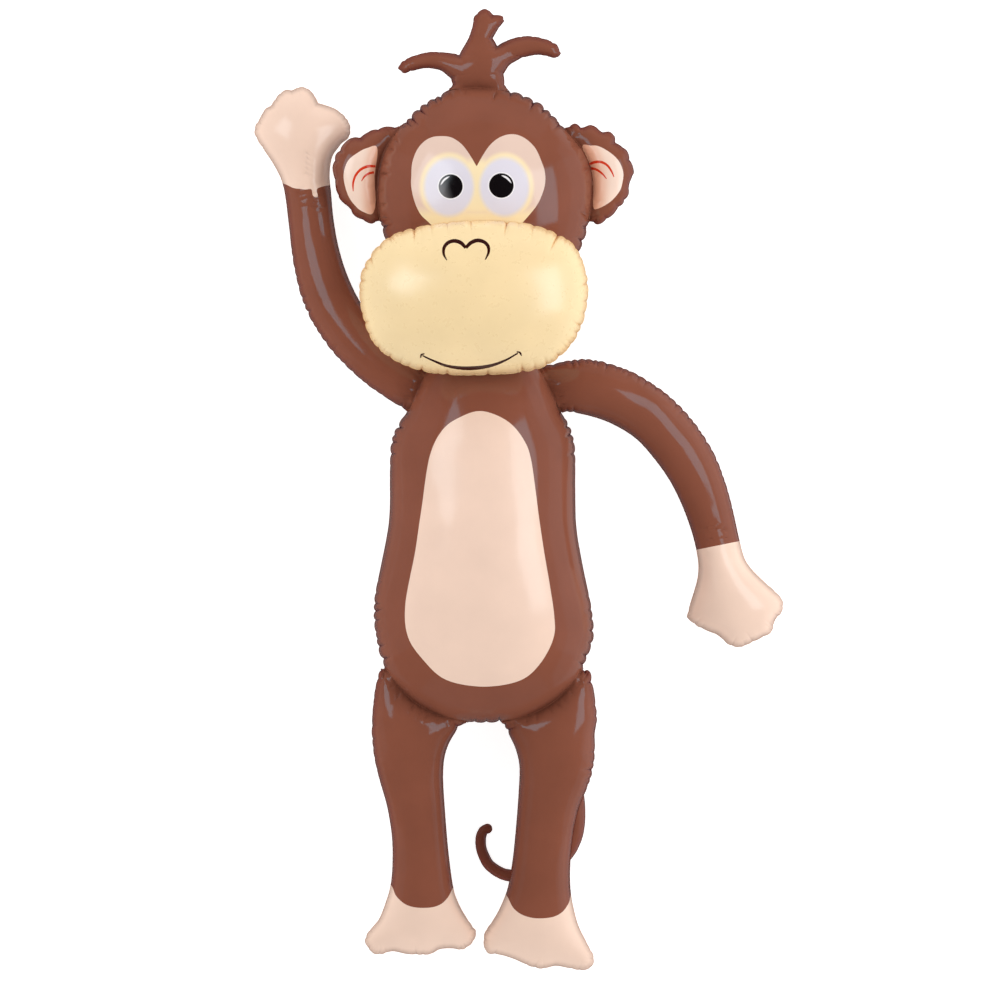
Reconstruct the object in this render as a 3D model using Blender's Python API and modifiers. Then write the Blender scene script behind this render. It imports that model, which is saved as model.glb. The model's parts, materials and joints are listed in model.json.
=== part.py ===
"""Inflatable monkey, about 1.15 m tall, lying face up on the floor.

Every part of the toy is an air chamber made of two equal sheets of PVC film, welded together
around their edge and blown up. So each piece is worked out the same way: its flat outline is
filled with a triangle mesh, a membrane under pressure gives the height of the sheets, and the
two sheets are set above and below the weld seam.

Metres, +Z up. +X is to the right for someone looking down at the face and +Y points to the
head. The outlines are drawn from the crotch: x = 0 is the middle of the body, y = 0 the bottom
of the torso. The finished monkey is moved so that the middle of its underside is the origin.
"""
import math

import bmesh
import bpy
import numpy as np
from mathutils import Vector
from mathutils.bvhtree import BVHTree
from mathutils.geometry import delaunay_2d_cdt

MM = 0.001

# Film and welds
WELD_THICKNESS = 1.6 * MM      # the two sheets where they are pressed together
WELD_GAP = 0.3 * MM            # between two chambers that share a weld
CONTACT_GAP = 0.3 * MM         # between chambers that press on each other
CONTACT_MARGIN = 13 * MM       # how far a pressed patch reaches past the chamber on it
FACET_CLEARANCE = 0.8 * MM     # where a chamber follows a neighbour's curved, faceted surface
FACET_REACH = 13 * MM

# Heights of the weld seams above the floor
TORSO_SEAM = 95 * MM
NECK_SEAM = 83 * MM            # the torso droops towards the neck, so the head meets the floor
HEAD_SEAM_TOP = 70 * MM
HAND_SEAM = 37 * MM
FOOT_SEAM = 36 * MM
MUZZLE_BACK = 154 * MM         # where the muzzle presses the face and the chest flat
MUZZLE_SEAM = 167 * MM

# How round each chamber is: 1 makes a long tube as thick as it is wide
TORSO_FULLNESS = 0.89
HEAD_FULLNESS = 0.85
MUZZLE_FULLNESS = 0.84
EAR_FULLNESS = 0.80
TUFT_FULLNESS = 0.95
ARM_FULLNESS = 0.97
LEG_FULLNESS = 0.93
TAIL_FULLNESS = 0.85

# Half of the torso's outline, in millimetres: hem from the crotch to the hip, then the side.
# The left side is drawn as its mirror image and bulges a little more.
HEM = [(0, 0), (21, 1.5), (43, 6), (64, 14), (84, 26), (103, 44), (118, 64)]
SIDE_RIGHT = [(118, 64), (127, 86), (132, 104), (131.5, 122), (128, 145), (122, 172),
              (115, 208), (110.5, 240), (109.5, 290), (109.5, 330), (104, 355), (92, 374)]
SIDE_LEFT = [(118, 64), (126.5, 86), (130.5, 108), (133, 130), (131.5, 152), (126.5, 176),
             (120.5, 205), (115, 235), (113, 262), (113, 300), (112, 335), (105.5, 355),
             (92, 374)]
SHOULDER = [(92, 374), (65, 429)]
NAPE = [(65, 429), (48, 470), (36, 514)]
NECK_HALF_WIDTH = 36
NECK_Y = 514
DROOP_Y = 300                  # where the torso starts to droop towards the neck
SHOULDER_MIDDLE = (77, 401)

HEAD = [(36, 514), (75, 531), (103, 552), (118, 573), (126, 602), (130, 635), (129, 662),
        (118, 689), (97, 714), (86, 727), (72, 741), (57, 750), (40, 757), (0, 762), (-42, 760),
        (-60, 751), (-79, 739), (-91, 727), (-101, 716), (-121, 684), (-128, 650), (-127, 618),
        (-121, 587), (-101, 552), (-72, 528), (-36, 514)]
HEAD_TOP_Y = 762

MUZZLE = [(125, 512), (121, 545), (105, 576), (60, 597), (0, 603), (-68, 597), (-118, 580),
          (-147, 540), (-146, 490), (-125, 447), (-72, 421), (5, 417), (73, 427), (112, 464)]

# Ears, tuft, arms and legs: runs of points between the notches in their welds. Each starts
# and ends on the outline of the piece it is welded to.
EAR_RIGHT = [
    [(126, 602), (136, 598), (147, 603), (155, 610), (161, 617)],
    [(161, 617), (169, 625), (174, 635), (175, 648)],
    [(175, 648), (180, 658), (178, 672), (171, 688), (158, 697)],
    [(158, 697), (157, 705), (151, 710), (141, 711)],
    [(141, 711), (130, 718), (119, 716)],
    [(119, 716), (109, 720), (97, 714)],
]
EAR_LEFT = [
    [(-101, 716), (-119, 716), (-137, 711), (-149, 703)],
    [(-149, 703), (-159, 703), (-169, 695), (-179, 681), (-182, 668), (-179, 648), (-175, 631),
     (-163, 619)],
    [(-163, 619), (-157, 610), (-146, 603), (-134, 599), (-124, 603)],
]
TUFT = [
    [(30, 760), (25, 769), (24, 779), (30, 789), (46, 798), (66, 802), (87, 798), (93, 804)],
    [(93, 804), (88, 814), (75, 821), (54, 825), (34, 822), (16, 814)],
    [(16, 814), (11, 822), (17, 833), (25, 843), (22, 849)],
    [(22, 849), (11, 851), (4, 857), (-4, 856)],
    [(-4, 856), (-12, 848), (-14, 837), (-19, 822), (-30, 803)],
    [(-30, 803), (-50, 805.5), (-68, 805.5), (-88, 800), (-100, 793), (-104, 786)],
    [(-104, 786), (-97, 780), (-70, 786), (-50, 782), (-40, 773), (-37, 759)],
]
ARM_RAISED = [
    [(-65, 429), (-80, 440), (-105, 457), (-130, 480), (-150, 508), (-165, 540), (-175, 573),
     (-181, 607), (-184, 640), (-185.5, 658), (-182, 681), (-170, 697)],
    [(-170, 697), (-162, 704), (-160.5, 716), (-166, 728)],
    [(-166, 728), (-179, 738), (-199, 745)],
    [(-199, 745), (-205, 756), (-213, 763), (-222, 764.5), (-230, 761)],
    [(-230, 761), (-238, 761), (-246, 756), (-252, 749), (-256, 742)],
    [(-256, 742), (-263, 738), (-269, 728), (-275, 718), (-276, 708), (-270, 696)],
    [(-270, 696), (-252, 669), (-241, 643), (-234.5, 596), (-229.5, 553), (-218.5, 507),
     (-203, 475), (-180, 443), (-148, 412), (-122, 393), (-92, 374)],
]
ARM_LOWERED = [
    [(92, 374), (120, 370), (150, 360.5), (180, 343), (202, 320), (224, 289), (241.5, 252),
     (254, 212), (257, 178), (246.5, 139)],
    [(246.5, 139), (243, 126), (255, 116.5), (281, 105)],
    [(281, 105), (292, 95), (308, 90.5), (332, 101)],
    [(332, 101), (346, 109), (350, 123)],
    [(350, 123), (358.5, 133), (359, 147), (350, 158)],
    [(350, 158), (330, 176), (315, 194), (307.5, 218), (296, 269), (281.5, 313), (263, 347),
     (239, 377.5), (211, 402), (180, 421), (152, 431.5), (133, 436.5), (109, 437), (82, 431),
     (65, 429)],
]
LEG_LEFT = [
    [(-118, 64), (-125, 67)],
    [(-125, 67), (-131, 40), (-134, 12), (-135, -13)],
    [(-135, -13), (-132.5, -38), (-126, -67), (-117, -98), (-111, -134), (-110, -165),
     (-112, -193), (-118, -215), (-127, -237), (-140, -252), (-143.5, -263), (-135, -276.5)],
    [(-135, -276.5), (-124, -279), (-110, -275)],
    [(-110, -275), (-94, -278), (-76, -279.5), (-63, -278), (-53, -272.5)],
    [(-53, -272.5), (-38, -271.5), (-26, -273.5), (-14, -265), (-9, -252), (-21, -234),
     (-34.5, -207), (-41.5, -165), (-46.5, -109), (-49, -61), (-45.5, -34), (-36, -14),
     (-23, 2)],
]
LEG_RIGHT = [
    [(20, 1.5), (34, -22), (42, -48), (41.5, -83), (37.5, -134), (33.5, -170), (27, -203),
     (14, -232), (1, -251), (-1, -264), (4, -277), (21, -279.5)],
    [(21, -279.5), (38, -285), (55, -293), (70, -296), (86, -292.5)],
    [(86, -292.5), (103, -295.5), (117, -298), (129, -294), (132.5, -282), (124, -265),
     (114, -245), (108, -224), (104, -200), (104, -165), (109.5, -121), (118, -92),
     (128.5, -67), (133, -42), (133, -12)],
    [(133, -12), (136, 4), (134, 25), (128, 64)],
    [(128, 64), (118, 64)],
]
# Middle line and width of the tail, from its root behind the torso to the curl
TAIL = [(33, 66, 36), (58, 12, 38), (81, -34, 38), (99, -76, 37), (105, -110, 34),
        (102, -139, 31), (89, -163, 25), (62, -179, 17.5), (34, -184.5, 15), (16, -179, 14),
        (3.5, -168, 13.5), (-3, -153, 13), (-4, -140, 13), (-1, -131, 12.5), (4, -128, 12.5)]
TAIL_ROOT_FLAT = 31 * MM       # height at which its root is pressed against the torso

# How the limbs droop: an arm is level near the shoulder weld, then slopes down to the hand, and
# a leg slopes from the hem to the sole. Distances in millimetres.
ARM_LEVEL = 40
RAISED_ARM_REACH = 265
LOWERED_ARM_REACH = 300
SOLE_Y = -255

# Printed areas
HAND_PRINT_RAISED = 644
HAND_PRINT_LOWERED = 212
FOOT_PRINT = -205
BELLY_CENTRE = (-3, 200)
BELLY_HALF_SIZE = (88, 165)

# Inflation valve on the back, below the nape
VALVE_PLACE = (0, 452)
VALVE_FLANGE_RADIUS = 11 * MM
VALVE_STEM_RADIUS = 5.5 * MM
VALVE_PLUG_RADIUS = 7 * MM
VALVE_HEIGHT = 10 * MM
VALVE_SEAT_DEPTH = 1.5 * MM
CUTTER_DEPTH = 20 * MM

# Distance between points along each outline and between those inside it, in millimetres
SPACING = {"torso": (14, 21), "head": (14, 21), "muzzle": (15, 21), "ear": (9, 13),
           "tuft": (9, 11), "arm": (11, 17), "leg": (13, 18), "tail": (11, 12)}

BROWN = (0.235, 0.078, 0.048)
SKIN = (0.83, 0.62, 0.50)
CREAM = (0.93, 0.68, 0.37)
VALVE_WHITE = (0.85, 0.85, 0.82)


def clear_scene():
    for obj in list(bpy.data.objects):
        bpy.data.objects.remove(obj, do_unlink=True)


def film_material(name, colour, roughness=0.28):
    material = bpy.data.materials.new(name)
    material.use_nodes = True
    shader = material.node_tree.nodes["Principled BSDF"]
    shader.inputs["Base Color"].default_value = (*colour, 1.0)
    shader.inputs["Roughness"].default_value = roughness
    shader.inputs["Metallic"].default_value = 0.0
    return material


# ---------------------------------------------------------------- outlines

def smooth_curve(knots, step, closed=False):
    """Points about `step` mm apart on a curve through the knots (Catmull-Rom), in metres."""
    knots = np.asarray(knots, float) * MM
    if closed:
        ends = [knots[-1], *knots, knots[0], knots[1]]
    else:
        ends = [2 * knots[0] - knots[1], *knots, 2 * knots[-1] - knots[-2]]
    points = [knots[0]]
    for before, start, end, after in zip(ends, ends[1:], ends[2:], ends[3:]):
        count = max(1, round(float(np.linalg.norm((end - start)[:2])) / (step * MM)))
        for t in (np.arange(count) + 1) / count:
            points.append(0.5 * (2 * start + (end - before) * t
                                 + (2 * before - 5 * start + 4 * end - after) * t ** 2
                                 + (3 * start - before - 3 * end + after) * t ** 3))
    return np.array(points)


def join_runs(runs, step):
    """One closed outline from runs that meet at corners, without repeating their ends."""
    return np.vstack([smooth_curve(run, step)[:-1] for run in runs])


def mirrored(run):
    return [(-x, y) for x, y in reversed(run)]


def weld_run(neighbour, start, end):
    """The stretch of a neighbour's outline from start to end, moved outwards by the weld gap."""
    first = int(np.argmin(np.linalg.norm(neighbour - np.array(start) * MM, axis=1)))
    last = int(np.argmin(np.linalg.norm(neighbour - np.array(end) * MM, axis=1)))
    count = (last - first) % len(neighbour) + 1
    index = (first + np.arange(count)) % len(neighbour)
    run = neighbour[index]
    along = np.gradient(run, axis=0)
    outwards = np.stack([along[:, 1], -along[:, 0]], axis=1)
    outwards /= np.linalg.norm(outwards, axis=1)[:, None]
    return run + outwards * WELD_GAP


def limb_outline(runs, step, neighbour):
    """A limb's outline: its own runs, closed along the neighbour that it is welded to."""
    shared = weld_run(neighbour, runs[0][0], runs[-1][-1])
    own = join_runs(runs, step)[1:]
    return np.vstack([own, shared[::-1]])


def torso_outline(step):
    neck = [(NECK_HALF_WIDTH, NECK_Y), (-NECK_HALF_WIDTH, NECK_Y)]
    hem = mirrored(HEM)[:-1] + HEM
    runs = [hem, SIDE_RIGHT, SHOULDER, NAPE, neck, mirrored(NAPE), mirrored(SHOULDER),
            mirrored(SIDE_LEFT)]
    return join_runs(runs, step)


def head_outline(step):
    outline = join_runs([HEAD, [HEAD[-1], HEAD[0]]], step)
    outline[:, 1] = np.maximum(outline[:, 1], NECK_Y * MM + WELD_GAP)
    return outline


def muzzle_outline(step):
    return smooth_curve(MUZZLE, step, closed=True)[:-1]


def tail_outline(line):
    """Both sides of the tail's middle line, closed by a half round at each end."""
    along = np.gradient(line[:, :2], axis=0)
    along /= np.linalg.norm(along, axis=1)[:, None]
    left = np.stack([-along[:, 1], along[:, 0]], axis=1) * line[:, 2:] / 2
    outline = [line[:, :2] - left]
    for end, direction in ((-1, 1), (0, -1)):
        for turn in (45, 90, 135):
            angle = math.radians(turn)
            outline.append([line[end, :2] - direction * left[end] * math.cos(angle)
                            + direction * along[end] * line[end, 2] / 2 * math.sin(angle)])
        if end == -1:
            outline.append((line[:, :2] + left)[::-1])
    return np.vstack(outline)


# ---------------------------------------------------------------- inflation

def distance_to_outline(points, outline):
    start = outline
    edge = np.roll(outline, -1, axis=0) - outline
    offset = points[:, None, :] - start[None, :, :]
    along = np.clip((offset * edge).sum(-1) / (edge ** 2).sum(-1), 0, 1)
    return np.linalg.norm(offset - along[..., None] * edge, axis=2).min(axis=1)


def inside_outline(points, outline):
    x, y = points[:, :1], points[:, 1:]
    x0, y0 = outline[:, 0], outline[:, 1]
    x1, y1 = np.roll(outline, -1, axis=0).T
    crosses = (y0 > y) != (y1 > y)
    rise = np.where(y1 == y0, 1, y1 - y0)
    return (crosses & (x < (x1 - x0) * (y - y0) / rise + x0)).sum(axis=1) % 2 == 1


def inner_points(outline, spacing):
    """A ring close to the weld, where the sheets rise steeply, and an even grid inside it."""
    along = np.roll(outline, -1, axis=0) - np.roll(outline, 1, axis=0)
    inwards = np.stack([-along[:, 1], along[:, 0]], axis=1)
    inwards /= np.linalg.norm(inwards, axis=1)[:, None]
    ring = outline + inwards * spacing * 0.28
    ring = ring[inside_outline(ring, outline)]
    ring = ring[distance_to_outline(ring, outline) > spacing * 0.2]
    low, high = outline.min(axis=0), outline.max(axis=0)
    row_height = spacing * math.sqrt(3) / 2
    grid = []
    for row, y in enumerate(np.arange(low[1], high[1], row_height)):
        shift = spacing / 2 * (row % 2)
        grid += [(x + shift, y) for x in np.arange(low[0], high[0], spacing)]
    grid = np.array(grid)
    grid = grid[inside_outline(grid, outline)]
    grid = grid[distance_to_outline(grid, outline) > spacing * 0.8]
    return np.vstack([ring, grid])


def triangulate(outline, spacing):
    """Points (the outline's come first) and triangles that fill an outline."""
    points = np.vstack([outline, inner_points(outline, spacing)])
    rim = list(range(len(outline)))
    made = delaunay_2d_cdt([Vector(p) for p in points], [], [rim], 1, 1e-7)
    flat, faces, sources = made[0], made[2], made[3]
    order = sorted(range(len(flat)), key=lambda i: min(sources[i], default=len(points)))
    place = {old: new for new, old in enumerate(order)}
    triangles = np.array([[place[i] for i in face] for face in faces])
    return np.array([flat[i][:] for i in order]), triangles


def membrane_heights(points, triangles, rim_count):
    """Half thickness of the chamber over each point: a long tube comes out round."""
    size = len(points)
    stiffness = np.zeros((size, size))
    load = np.zeros(size)
    for corner in range(3):
        i, j, k = (triangles[:, (corner + n) % 3] for n in range(3))
        to_i, to_j = points[i] - points[k], points[j] - points[k]
        cross = to_i[:, 0] * to_j[:, 1] - to_i[:, 1] * to_j[:, 0]
        weight = (to_i * to_j).sum(axis=1) / np.maximum(np.abs(cross), 1e-12) / 2
        for a, b, sign in ((i, i, 1), (j, j, 1), (i, j, -1), (j, i, -1)):
            np.add.at(stiffness, (a, b), sign * weight)
        np.add.at(load, k, np.abs(cross) / 6)
    free = np.arange(rim_count, size)
    bulge = np.zeros(size)
    bulge[free] = np.linalg.solve(stiffness[np.ix_(free, free)], 2 * load[free])
    return np.sqrt(np.maximum(bulge, 0))


def chamber(name, outline, size, fullness, seam, lowest=None, highest=None):
    """Two sheets joined by a weld band along the outline.

    size is its row in SPACING. seam gives the height of the weld over a point; lowest and
    highest give the surfaces that the chamber is pressed flat against.
    """
    points, triangles = triangulate(outline, SPACING[size][1] * MM)
    rise = membrane_heights(points, triangles, len(outline)) * fullness + WELD_THICKNESS / 2
    seam_heights = np.array([seam(x, y) for x, y in points])
    upper, lower = seam_heights + rise, seam_heights - rise
    if lowest is not None:
        lower = np.maximum(lower, [lowest(x, y) for x, y in points])
    if highest is not None:
        upper = np.minimum(upper, [highest(x, y) for x, y in points])
    mesh = bpy.data.meshes.new(name)
    bm = bmesh.new()
    top = [bm.verts.new((x, y, z)) for (x, y), z in zip(points, upper)]
    bottom = [bm.verts.new((x, y, z)) for (x, y), z in zip(points, lower)]
    for a, b, c in triangles.tolist():
        bm.faces.new((top[a], top[b], top[c]))
        bm.faces.new((bottom[c], bottom[b], bottom[a]))
    rim = len(outline)
    for i in range(rim):
        j = (i + 1) % rim
        bm.faces.new((bottom[i], bottom[j], top[j]))
        bm.faces.new((bottom[i], top[j], top[i]))
    bmesh.ops.recalc_face_normals(bm, faces=bm.faces)
    bm.to_mesh(mesh)
    bm.free()
    mesh.shade_smooth()
    mesh.set_sharp_from_angle(angle=math.radians(60))
    return bpy.data.objects.new(name, mesh)


def print_on(obj, material, covers):
    """A second colour on the faces whose middle covers(x, y, z) accepts."""
    obj.data.materials.append(material)
    for face in obj.data.polygons:
        if covers(*face.center):
            face.material_index = 1


# ---------------------------------------------------------------- seams of the limbs

def torso_seam(x, y):
    droop = max(0, (y - DROOP_Y * MM) / (NECK_Y * MM - DROOP_Y * MM))
    return TORSO_SEAM + (NECK_SEAM - TORSO_SEAM) * droop


def head_seam(x, y):
    lean = (y - NECK_Y * MM) / (HEAD_TOP_Y * MM - NECK_Y * MM)
    return NECK_SEAM + (HEAD_SEAM_TOP - NECK_SEAM) * lean


def muzzle_seam(x, y):
    return MUZZLE_SEAM


def arm_seam(side, reach):
    """At the torso's height along the shoulder weld, then down in a slope to the hand."""
    shoulder_x, shoulder_y = side * SHOULDER_MIDDLE[0], SHOULDER_MIDDLE[1]

    def seam(x, y):
        distance = math.hypot(x / MM - shoulder_x, y / MM - shoulder_y)
        slope = min(1, max(0, (distance - ARM_LEVEL) / (reach - ARM_LEVEL)))
        return torso_seam(x, y) * (1 - slope) + HAND_SEAM * slope
    return seam


def leg_seam(x, y):
    """Level beside the hem, then down in a straight slope to the sole."""
    slope = min(1, max(0, y / (SOLE_Y * MM)))
    return TORSO_SEAM + (FOOT_SEAM - TORSO_SEAM) * slope


def tail_seam(line):
    def seam(x, y):
        nearest = int(np.argmin((line[:, 0] - x) ** 2 + (line[:, 1] - y) ** 2))
        return line[nearest, 2] / 2 * TAIL_FULLNESS + WELD_THICKNESS / 2
    return seam


# ---------------------------------------------------------------- valve

def valve():
    """A push-in valve, turned about its axis: flange, stem and the lip of its plug."""
    half = VALVE_HEIGHT / 2
    profile = [(0, half), (VALVE_FLANGE_RADIUS, half), (VALVE_FLANGE_RADIUS, half - 1.2 * MM),
               (VALVE_STEM_RADIUS, half - 1.8 * MM), (VALVE_STEM_RADIUS, -half + 2.5 * MM),
               (VALVE_PLUG_RADIUS, -half + 2.3 * MM), (VALVE_PLUG_RADIUS, -half + 0.4 * MM),
               (VALVE_PLUG_RADIUS - 0.6 * MM, -half), (0, -half)]
    mesh = bpy.data.meshes.new("inflation_valve")
    mesh.from_pydata([(r, 0, z) for r, z in profile],
                     [(i, i + 1) for i in range(len(profile) - 1)], [])
    obj = bpy.data.objects.new("inflation_valve", mesh)
    screw = obj.modifiers.new("turn", "SCREW")
    screw.steps = screw.render_steps = 24
    screw.use_merge_vertices = True
    screw.merge_threshold = 1e-5
    return obj


def valve_seat_cutter():
    radius = VALVE_FLANGE_RADIUS + CONTACT_GAP
    bm = bmesh.new()
    bmesh.ops.create_cone(bm, cap_ends=True, segments=32, radius1=radius, radius2=radius,
                          depth=CUTTER_DEPTH)
    mesh = bpy.data.meshes.new("valve_seat_cutter")
    bm.to_mesh(mesh)
    bm.free()
    cutter = bpy.data.objects.new("valve_seat_cutter", mesh)
    cutter.hide_render = True
    cutter.display_type = "WIRE"
    return cutter


def ray_tree(obj):
    return BVHTree.FromPolygons([v.co for v in obj.data.vertices],
                                [p.vertices for p in obj.data.polygons])


def fit_valve(body, cutters):
    """Sets the valve in a shallow flat seat in the underside of the body."""
    start = Vector((VALVE_PLACE[0] * MM, VALVE_PLACE[1] * MM, -1))
    point, outwards, _, _ = ray_tree(body).ray_cast(start, Vector((0, 0, 1)))
    turn = (-outwards).to_track_quat("Z", "Y")
    cutter = valve_seat_cutter()
    cutter.rotation_mode = "QUATERNION"
    cutter.rotation_quaternion = turn
    cutter.location = point + outwards * (CUTTER_DEPTH / 2 - VALVE_SEAT_DEPTH)
    cutters.objects.link(cutter)
    cut = body.modifiers.new("valve_seat", "BOOLEAN")
    cut.operation = "DIFFERENCE"
    cut.solver = "EXACT"
    cut.object = cutter
    piece = valve()
    piece.rotation_mode = "QUATERNION"
    piece.rotation_quaternion = turn
    piece.location = point + outwards * (VALVE_HEIGHT / 2 - VALVE_SEAT_DEPTH + CONTACT_GAP)
    return piece, cutter


# ---------------------------------------------------------------- the monkey

def floor(x, y):
    return 0


def beyond_patch(x, y, outline):
    """How far a point lies outside the patch that a neighbour presses flat."""
    place = np.array([[x, y]])
    if inside_outline(place, outline)[0]:
        return 0
    return max(0, distance_to_outline(place, outline)[0] - CONTACT_MARGIN)


def under_muzzle(outline):
    """The flat patch that the muzzle presses into the front of a chamber."""
    def highest(x, y):
        return MUZZLE_BACK - CONTACT_GAP + beyond_patch(x, y, outline)
    return highest


def over_tail(outline):
    """The floor, and the flat patch that the root of the tail presses into the torso."""
    def lowest(x, y):
        return max(0, TAIL_ROOT_FLAT + CONTACT_GAP - beyond_patch(x, y, outline))
    return lowest


def root_flat(x, y):
    return TAIL_ROOT_FLAT if y > 0 else math.inf


def resting_on(pieces):
    """The back of the muzzle: it bulges down until it meets the pieces behind it.

    Each point looks a little way round itself, so that a facet clears what lies under it.
    """
    trees = [ray_tree(piece) for piece in pieces]
    turns = [math.tau * i / 8 for i in range(8)]
    around = [(0, 0)] + [(FACET_REACH * math.cos(a), FACET_REACH * math.sin(a)) for a in turns]

    def lowest(x, y):
        top = -math.inf
        for dx, dy in around:
            for tree in trees:
                hit = tree.ray_cast(Vector((x + dx, y + dy, 1)), Vector((0, 0, -1)))[0]
                if hit is not None:
                    top = max(top, hit.z)
        return min(MUZZLE_BACK, top + FACET_CLEARANCE)
    return lowest


def main():
    clear_scene()
    parts = bpy.data.collections.new("inflatable_monkey")
    cutters = bpy.data.collections.new("cutters")
    bpy.context.scene.collection.children.link(parts)
    bpy.context.scene.collection.children.link(cutters)

    brown = film_material("brown_film", BROWN)
    skin = film_material("skin_film", SKIN)
    cream = film_material("cream_film", CREAM)
    white = film_material("valve_plastic", VALVE_WHITE, roughness=0.4)

    torso_rim = torso_outline(SPACING["torso"][0])
    head_rim = head_outline(SPACING["head"][0])
    muzzle_rim = muzzle_outline(SPACING["muzzle"][0])
    tail_line = smooth_curve(TAIL, SPACING["tail"][0])
    tail_rim = tail_outline(tail_line)
    pressed = under_muzzle(muzzle_rim)

    def limb(name, runs, size, neighbour, fullness, seam, lowest=None):
        outline = limb_outline(runs, SPACING[size][0], neighbour)
        return chamber(name, outline, size, fullness, seam, lowest)

    torso = chamber("torso", torso_rim, "torso", TORSO_FULLNESS, torso_seam,
                    lowest=over_tail(tail_rim), highest=pressed)
    head = chamber("head", head_rim, "head", HEAD_FULLNESS, head_seam,
                   lowest=floor, highest=pressed)
    ears = [limb(name, runs, "ear", head_rim, EAR_FULLNESS, head_seam)
            for name, runs in (("ear_left", EAR_LEFT), ("ear_right", EAR_RIGHT))]
    tuft = limb("hair_tuft", TUFT, "tuft", head_rim, TUFT_FULLNESS, head_seam)
    arm_raised = limb("arm_raised", ARM_RAISED, "arm", torso_rim, ARM_FULLNESS,
                      arm_seam(-1, RAISED_ARM_REACH), lowest=floor)
    arm_lowered = limb("arm_lowered", ARM_LOWERED, "arm", torso_rim, ARM_FULLNESS,
                       arm_seam(1, LOWERED_ARM_REACH), lowest=floor)
    muzzle = chamber("muzzle", muzzle_rim, "muzzle", MUZZLE_FULLNESS, muzzle_seam,
                     lowest=resting_on([torso, head, arm_raised, arm_lowered]))
    legs = [limb(name, runs, "leg", torso_rim, LEG_FULLNESS, leg_seam, lowest=floor)
            for name, runs in (("leg_left", LEG_LEFT), ("leg_right", LEG_RIGHT))]
    tail = chamber("tail", tail_rim, "tail", TAIL_FULLNESS, tail_seam(tail_line),
                   lowest=floor, highest=root_flat)
    inflation_valve, cutter = fit_valve(torso, cutters)

    for piece in (torso, head, *ears, tuft, arm_raised, arm_lowered, *legs, tail):
        piece.data.materials.append(brown)
    muzzle.data.materials.append(cream)
    inflation_valve.data.materials.append(white)
    print_on(arm_raised, skin, lambda x, y, z: y > HAND_PRINT_RAISED * MM)
    print_on(arm_lowered, skin, lambda x, y, z: y < HAND_PRINT_LOWERED * MM)
    for leg in legs:
        print_on(leg, skin, lambda x, y, z: y < FOOT_PRINT * MM)
    print_on(torso, skin, lambda x, y, z: z > TORSO_SEAM and math.hypot(
        (x / MM - BELLY_CENTRE[0]) / BELLY_HALF_SIZE[0],
        (y / MM - BELLY_CENTRE[1]) / BELLY_HALF_SIZE[1]) < 1)

    pieces = [torso, head, muzzle, *ears, tuft, arm_raised, arm_lowered, *legs, tail,
              inflation_valve]
    whole = np.vstack([[v.co[:] for v in piece.data.vertices] for piece in pieces[:-1]])
    low, high = whole.min(axis=0), whole.max(axis=0)
    monkey = bpy.data.objects.new("monkey", None)
    monkey.location = (-(low[0] + high[0]) / 2, -(low[1] + high[1]) / 2, -low[2])
    parts.objects.link(monkey)
    for piece in pieces:
        parts.objects.link(piece)
        piece.parent = monkey
    cutter.parent = monkey


main()
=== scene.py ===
# Blow-up vinyl monkey, lying face up on a pale floor.
# Each chamber is two printed PVC sheets welded round their edge. Its edge comes from the packed
# solid; the fine sheets, weld strip, puckers and prints are made here.
import json
import math

import bmesh
import bpy
import numpy as np
from mathutils import Matrix, Vector
from mathutils.bvhtree import BVHTree
from mathutils.geometry import delaunay_2d_cdt

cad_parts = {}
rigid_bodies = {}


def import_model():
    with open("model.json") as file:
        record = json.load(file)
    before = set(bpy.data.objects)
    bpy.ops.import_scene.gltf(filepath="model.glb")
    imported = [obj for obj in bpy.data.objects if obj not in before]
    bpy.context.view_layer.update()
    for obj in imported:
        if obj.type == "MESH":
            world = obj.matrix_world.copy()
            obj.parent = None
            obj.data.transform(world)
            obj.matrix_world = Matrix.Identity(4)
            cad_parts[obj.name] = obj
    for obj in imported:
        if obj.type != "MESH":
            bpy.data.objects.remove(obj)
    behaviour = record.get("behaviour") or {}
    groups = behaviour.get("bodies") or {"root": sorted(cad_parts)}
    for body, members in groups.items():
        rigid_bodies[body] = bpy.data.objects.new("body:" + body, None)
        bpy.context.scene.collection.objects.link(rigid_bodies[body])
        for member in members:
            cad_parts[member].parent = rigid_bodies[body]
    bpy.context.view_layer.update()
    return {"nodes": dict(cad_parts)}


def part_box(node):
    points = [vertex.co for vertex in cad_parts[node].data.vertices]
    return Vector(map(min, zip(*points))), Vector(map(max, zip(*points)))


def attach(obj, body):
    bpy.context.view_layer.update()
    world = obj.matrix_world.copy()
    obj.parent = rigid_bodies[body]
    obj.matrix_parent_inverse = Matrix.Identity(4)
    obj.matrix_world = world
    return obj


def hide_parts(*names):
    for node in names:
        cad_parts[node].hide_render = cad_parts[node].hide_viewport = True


mm = 0.001

for leftover in list(bpy.data.objects):
    bpy.data.objects.remove(leftover)
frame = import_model()
scene = bpy.context.scene

# Prints are drawn in millimetres from the crotch, on the middle line of the body. Its left side
# bulges a little more, so that line is 0.5 mm right of the middle of its box.
torsoLow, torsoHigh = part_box("torso")
crotch = np.array([(torsoLow.x + torsoHigh.x) / 2 + 0.5 * mm, torsoLow.y])


def drawn(points):
    return np.array(points, float) * mm + crotch


def added(name, data):
    obj = bpy.data.objects.new(name, data)
    scene.collection.objects.link(obj)
    return obj


# ---- camera: straight above the belly, through a long lens

camera = {"aim": (19.2, 267.6), "height": 30.09, "lens": 900, "sensor": 36, "farLimit": 100}


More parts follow.
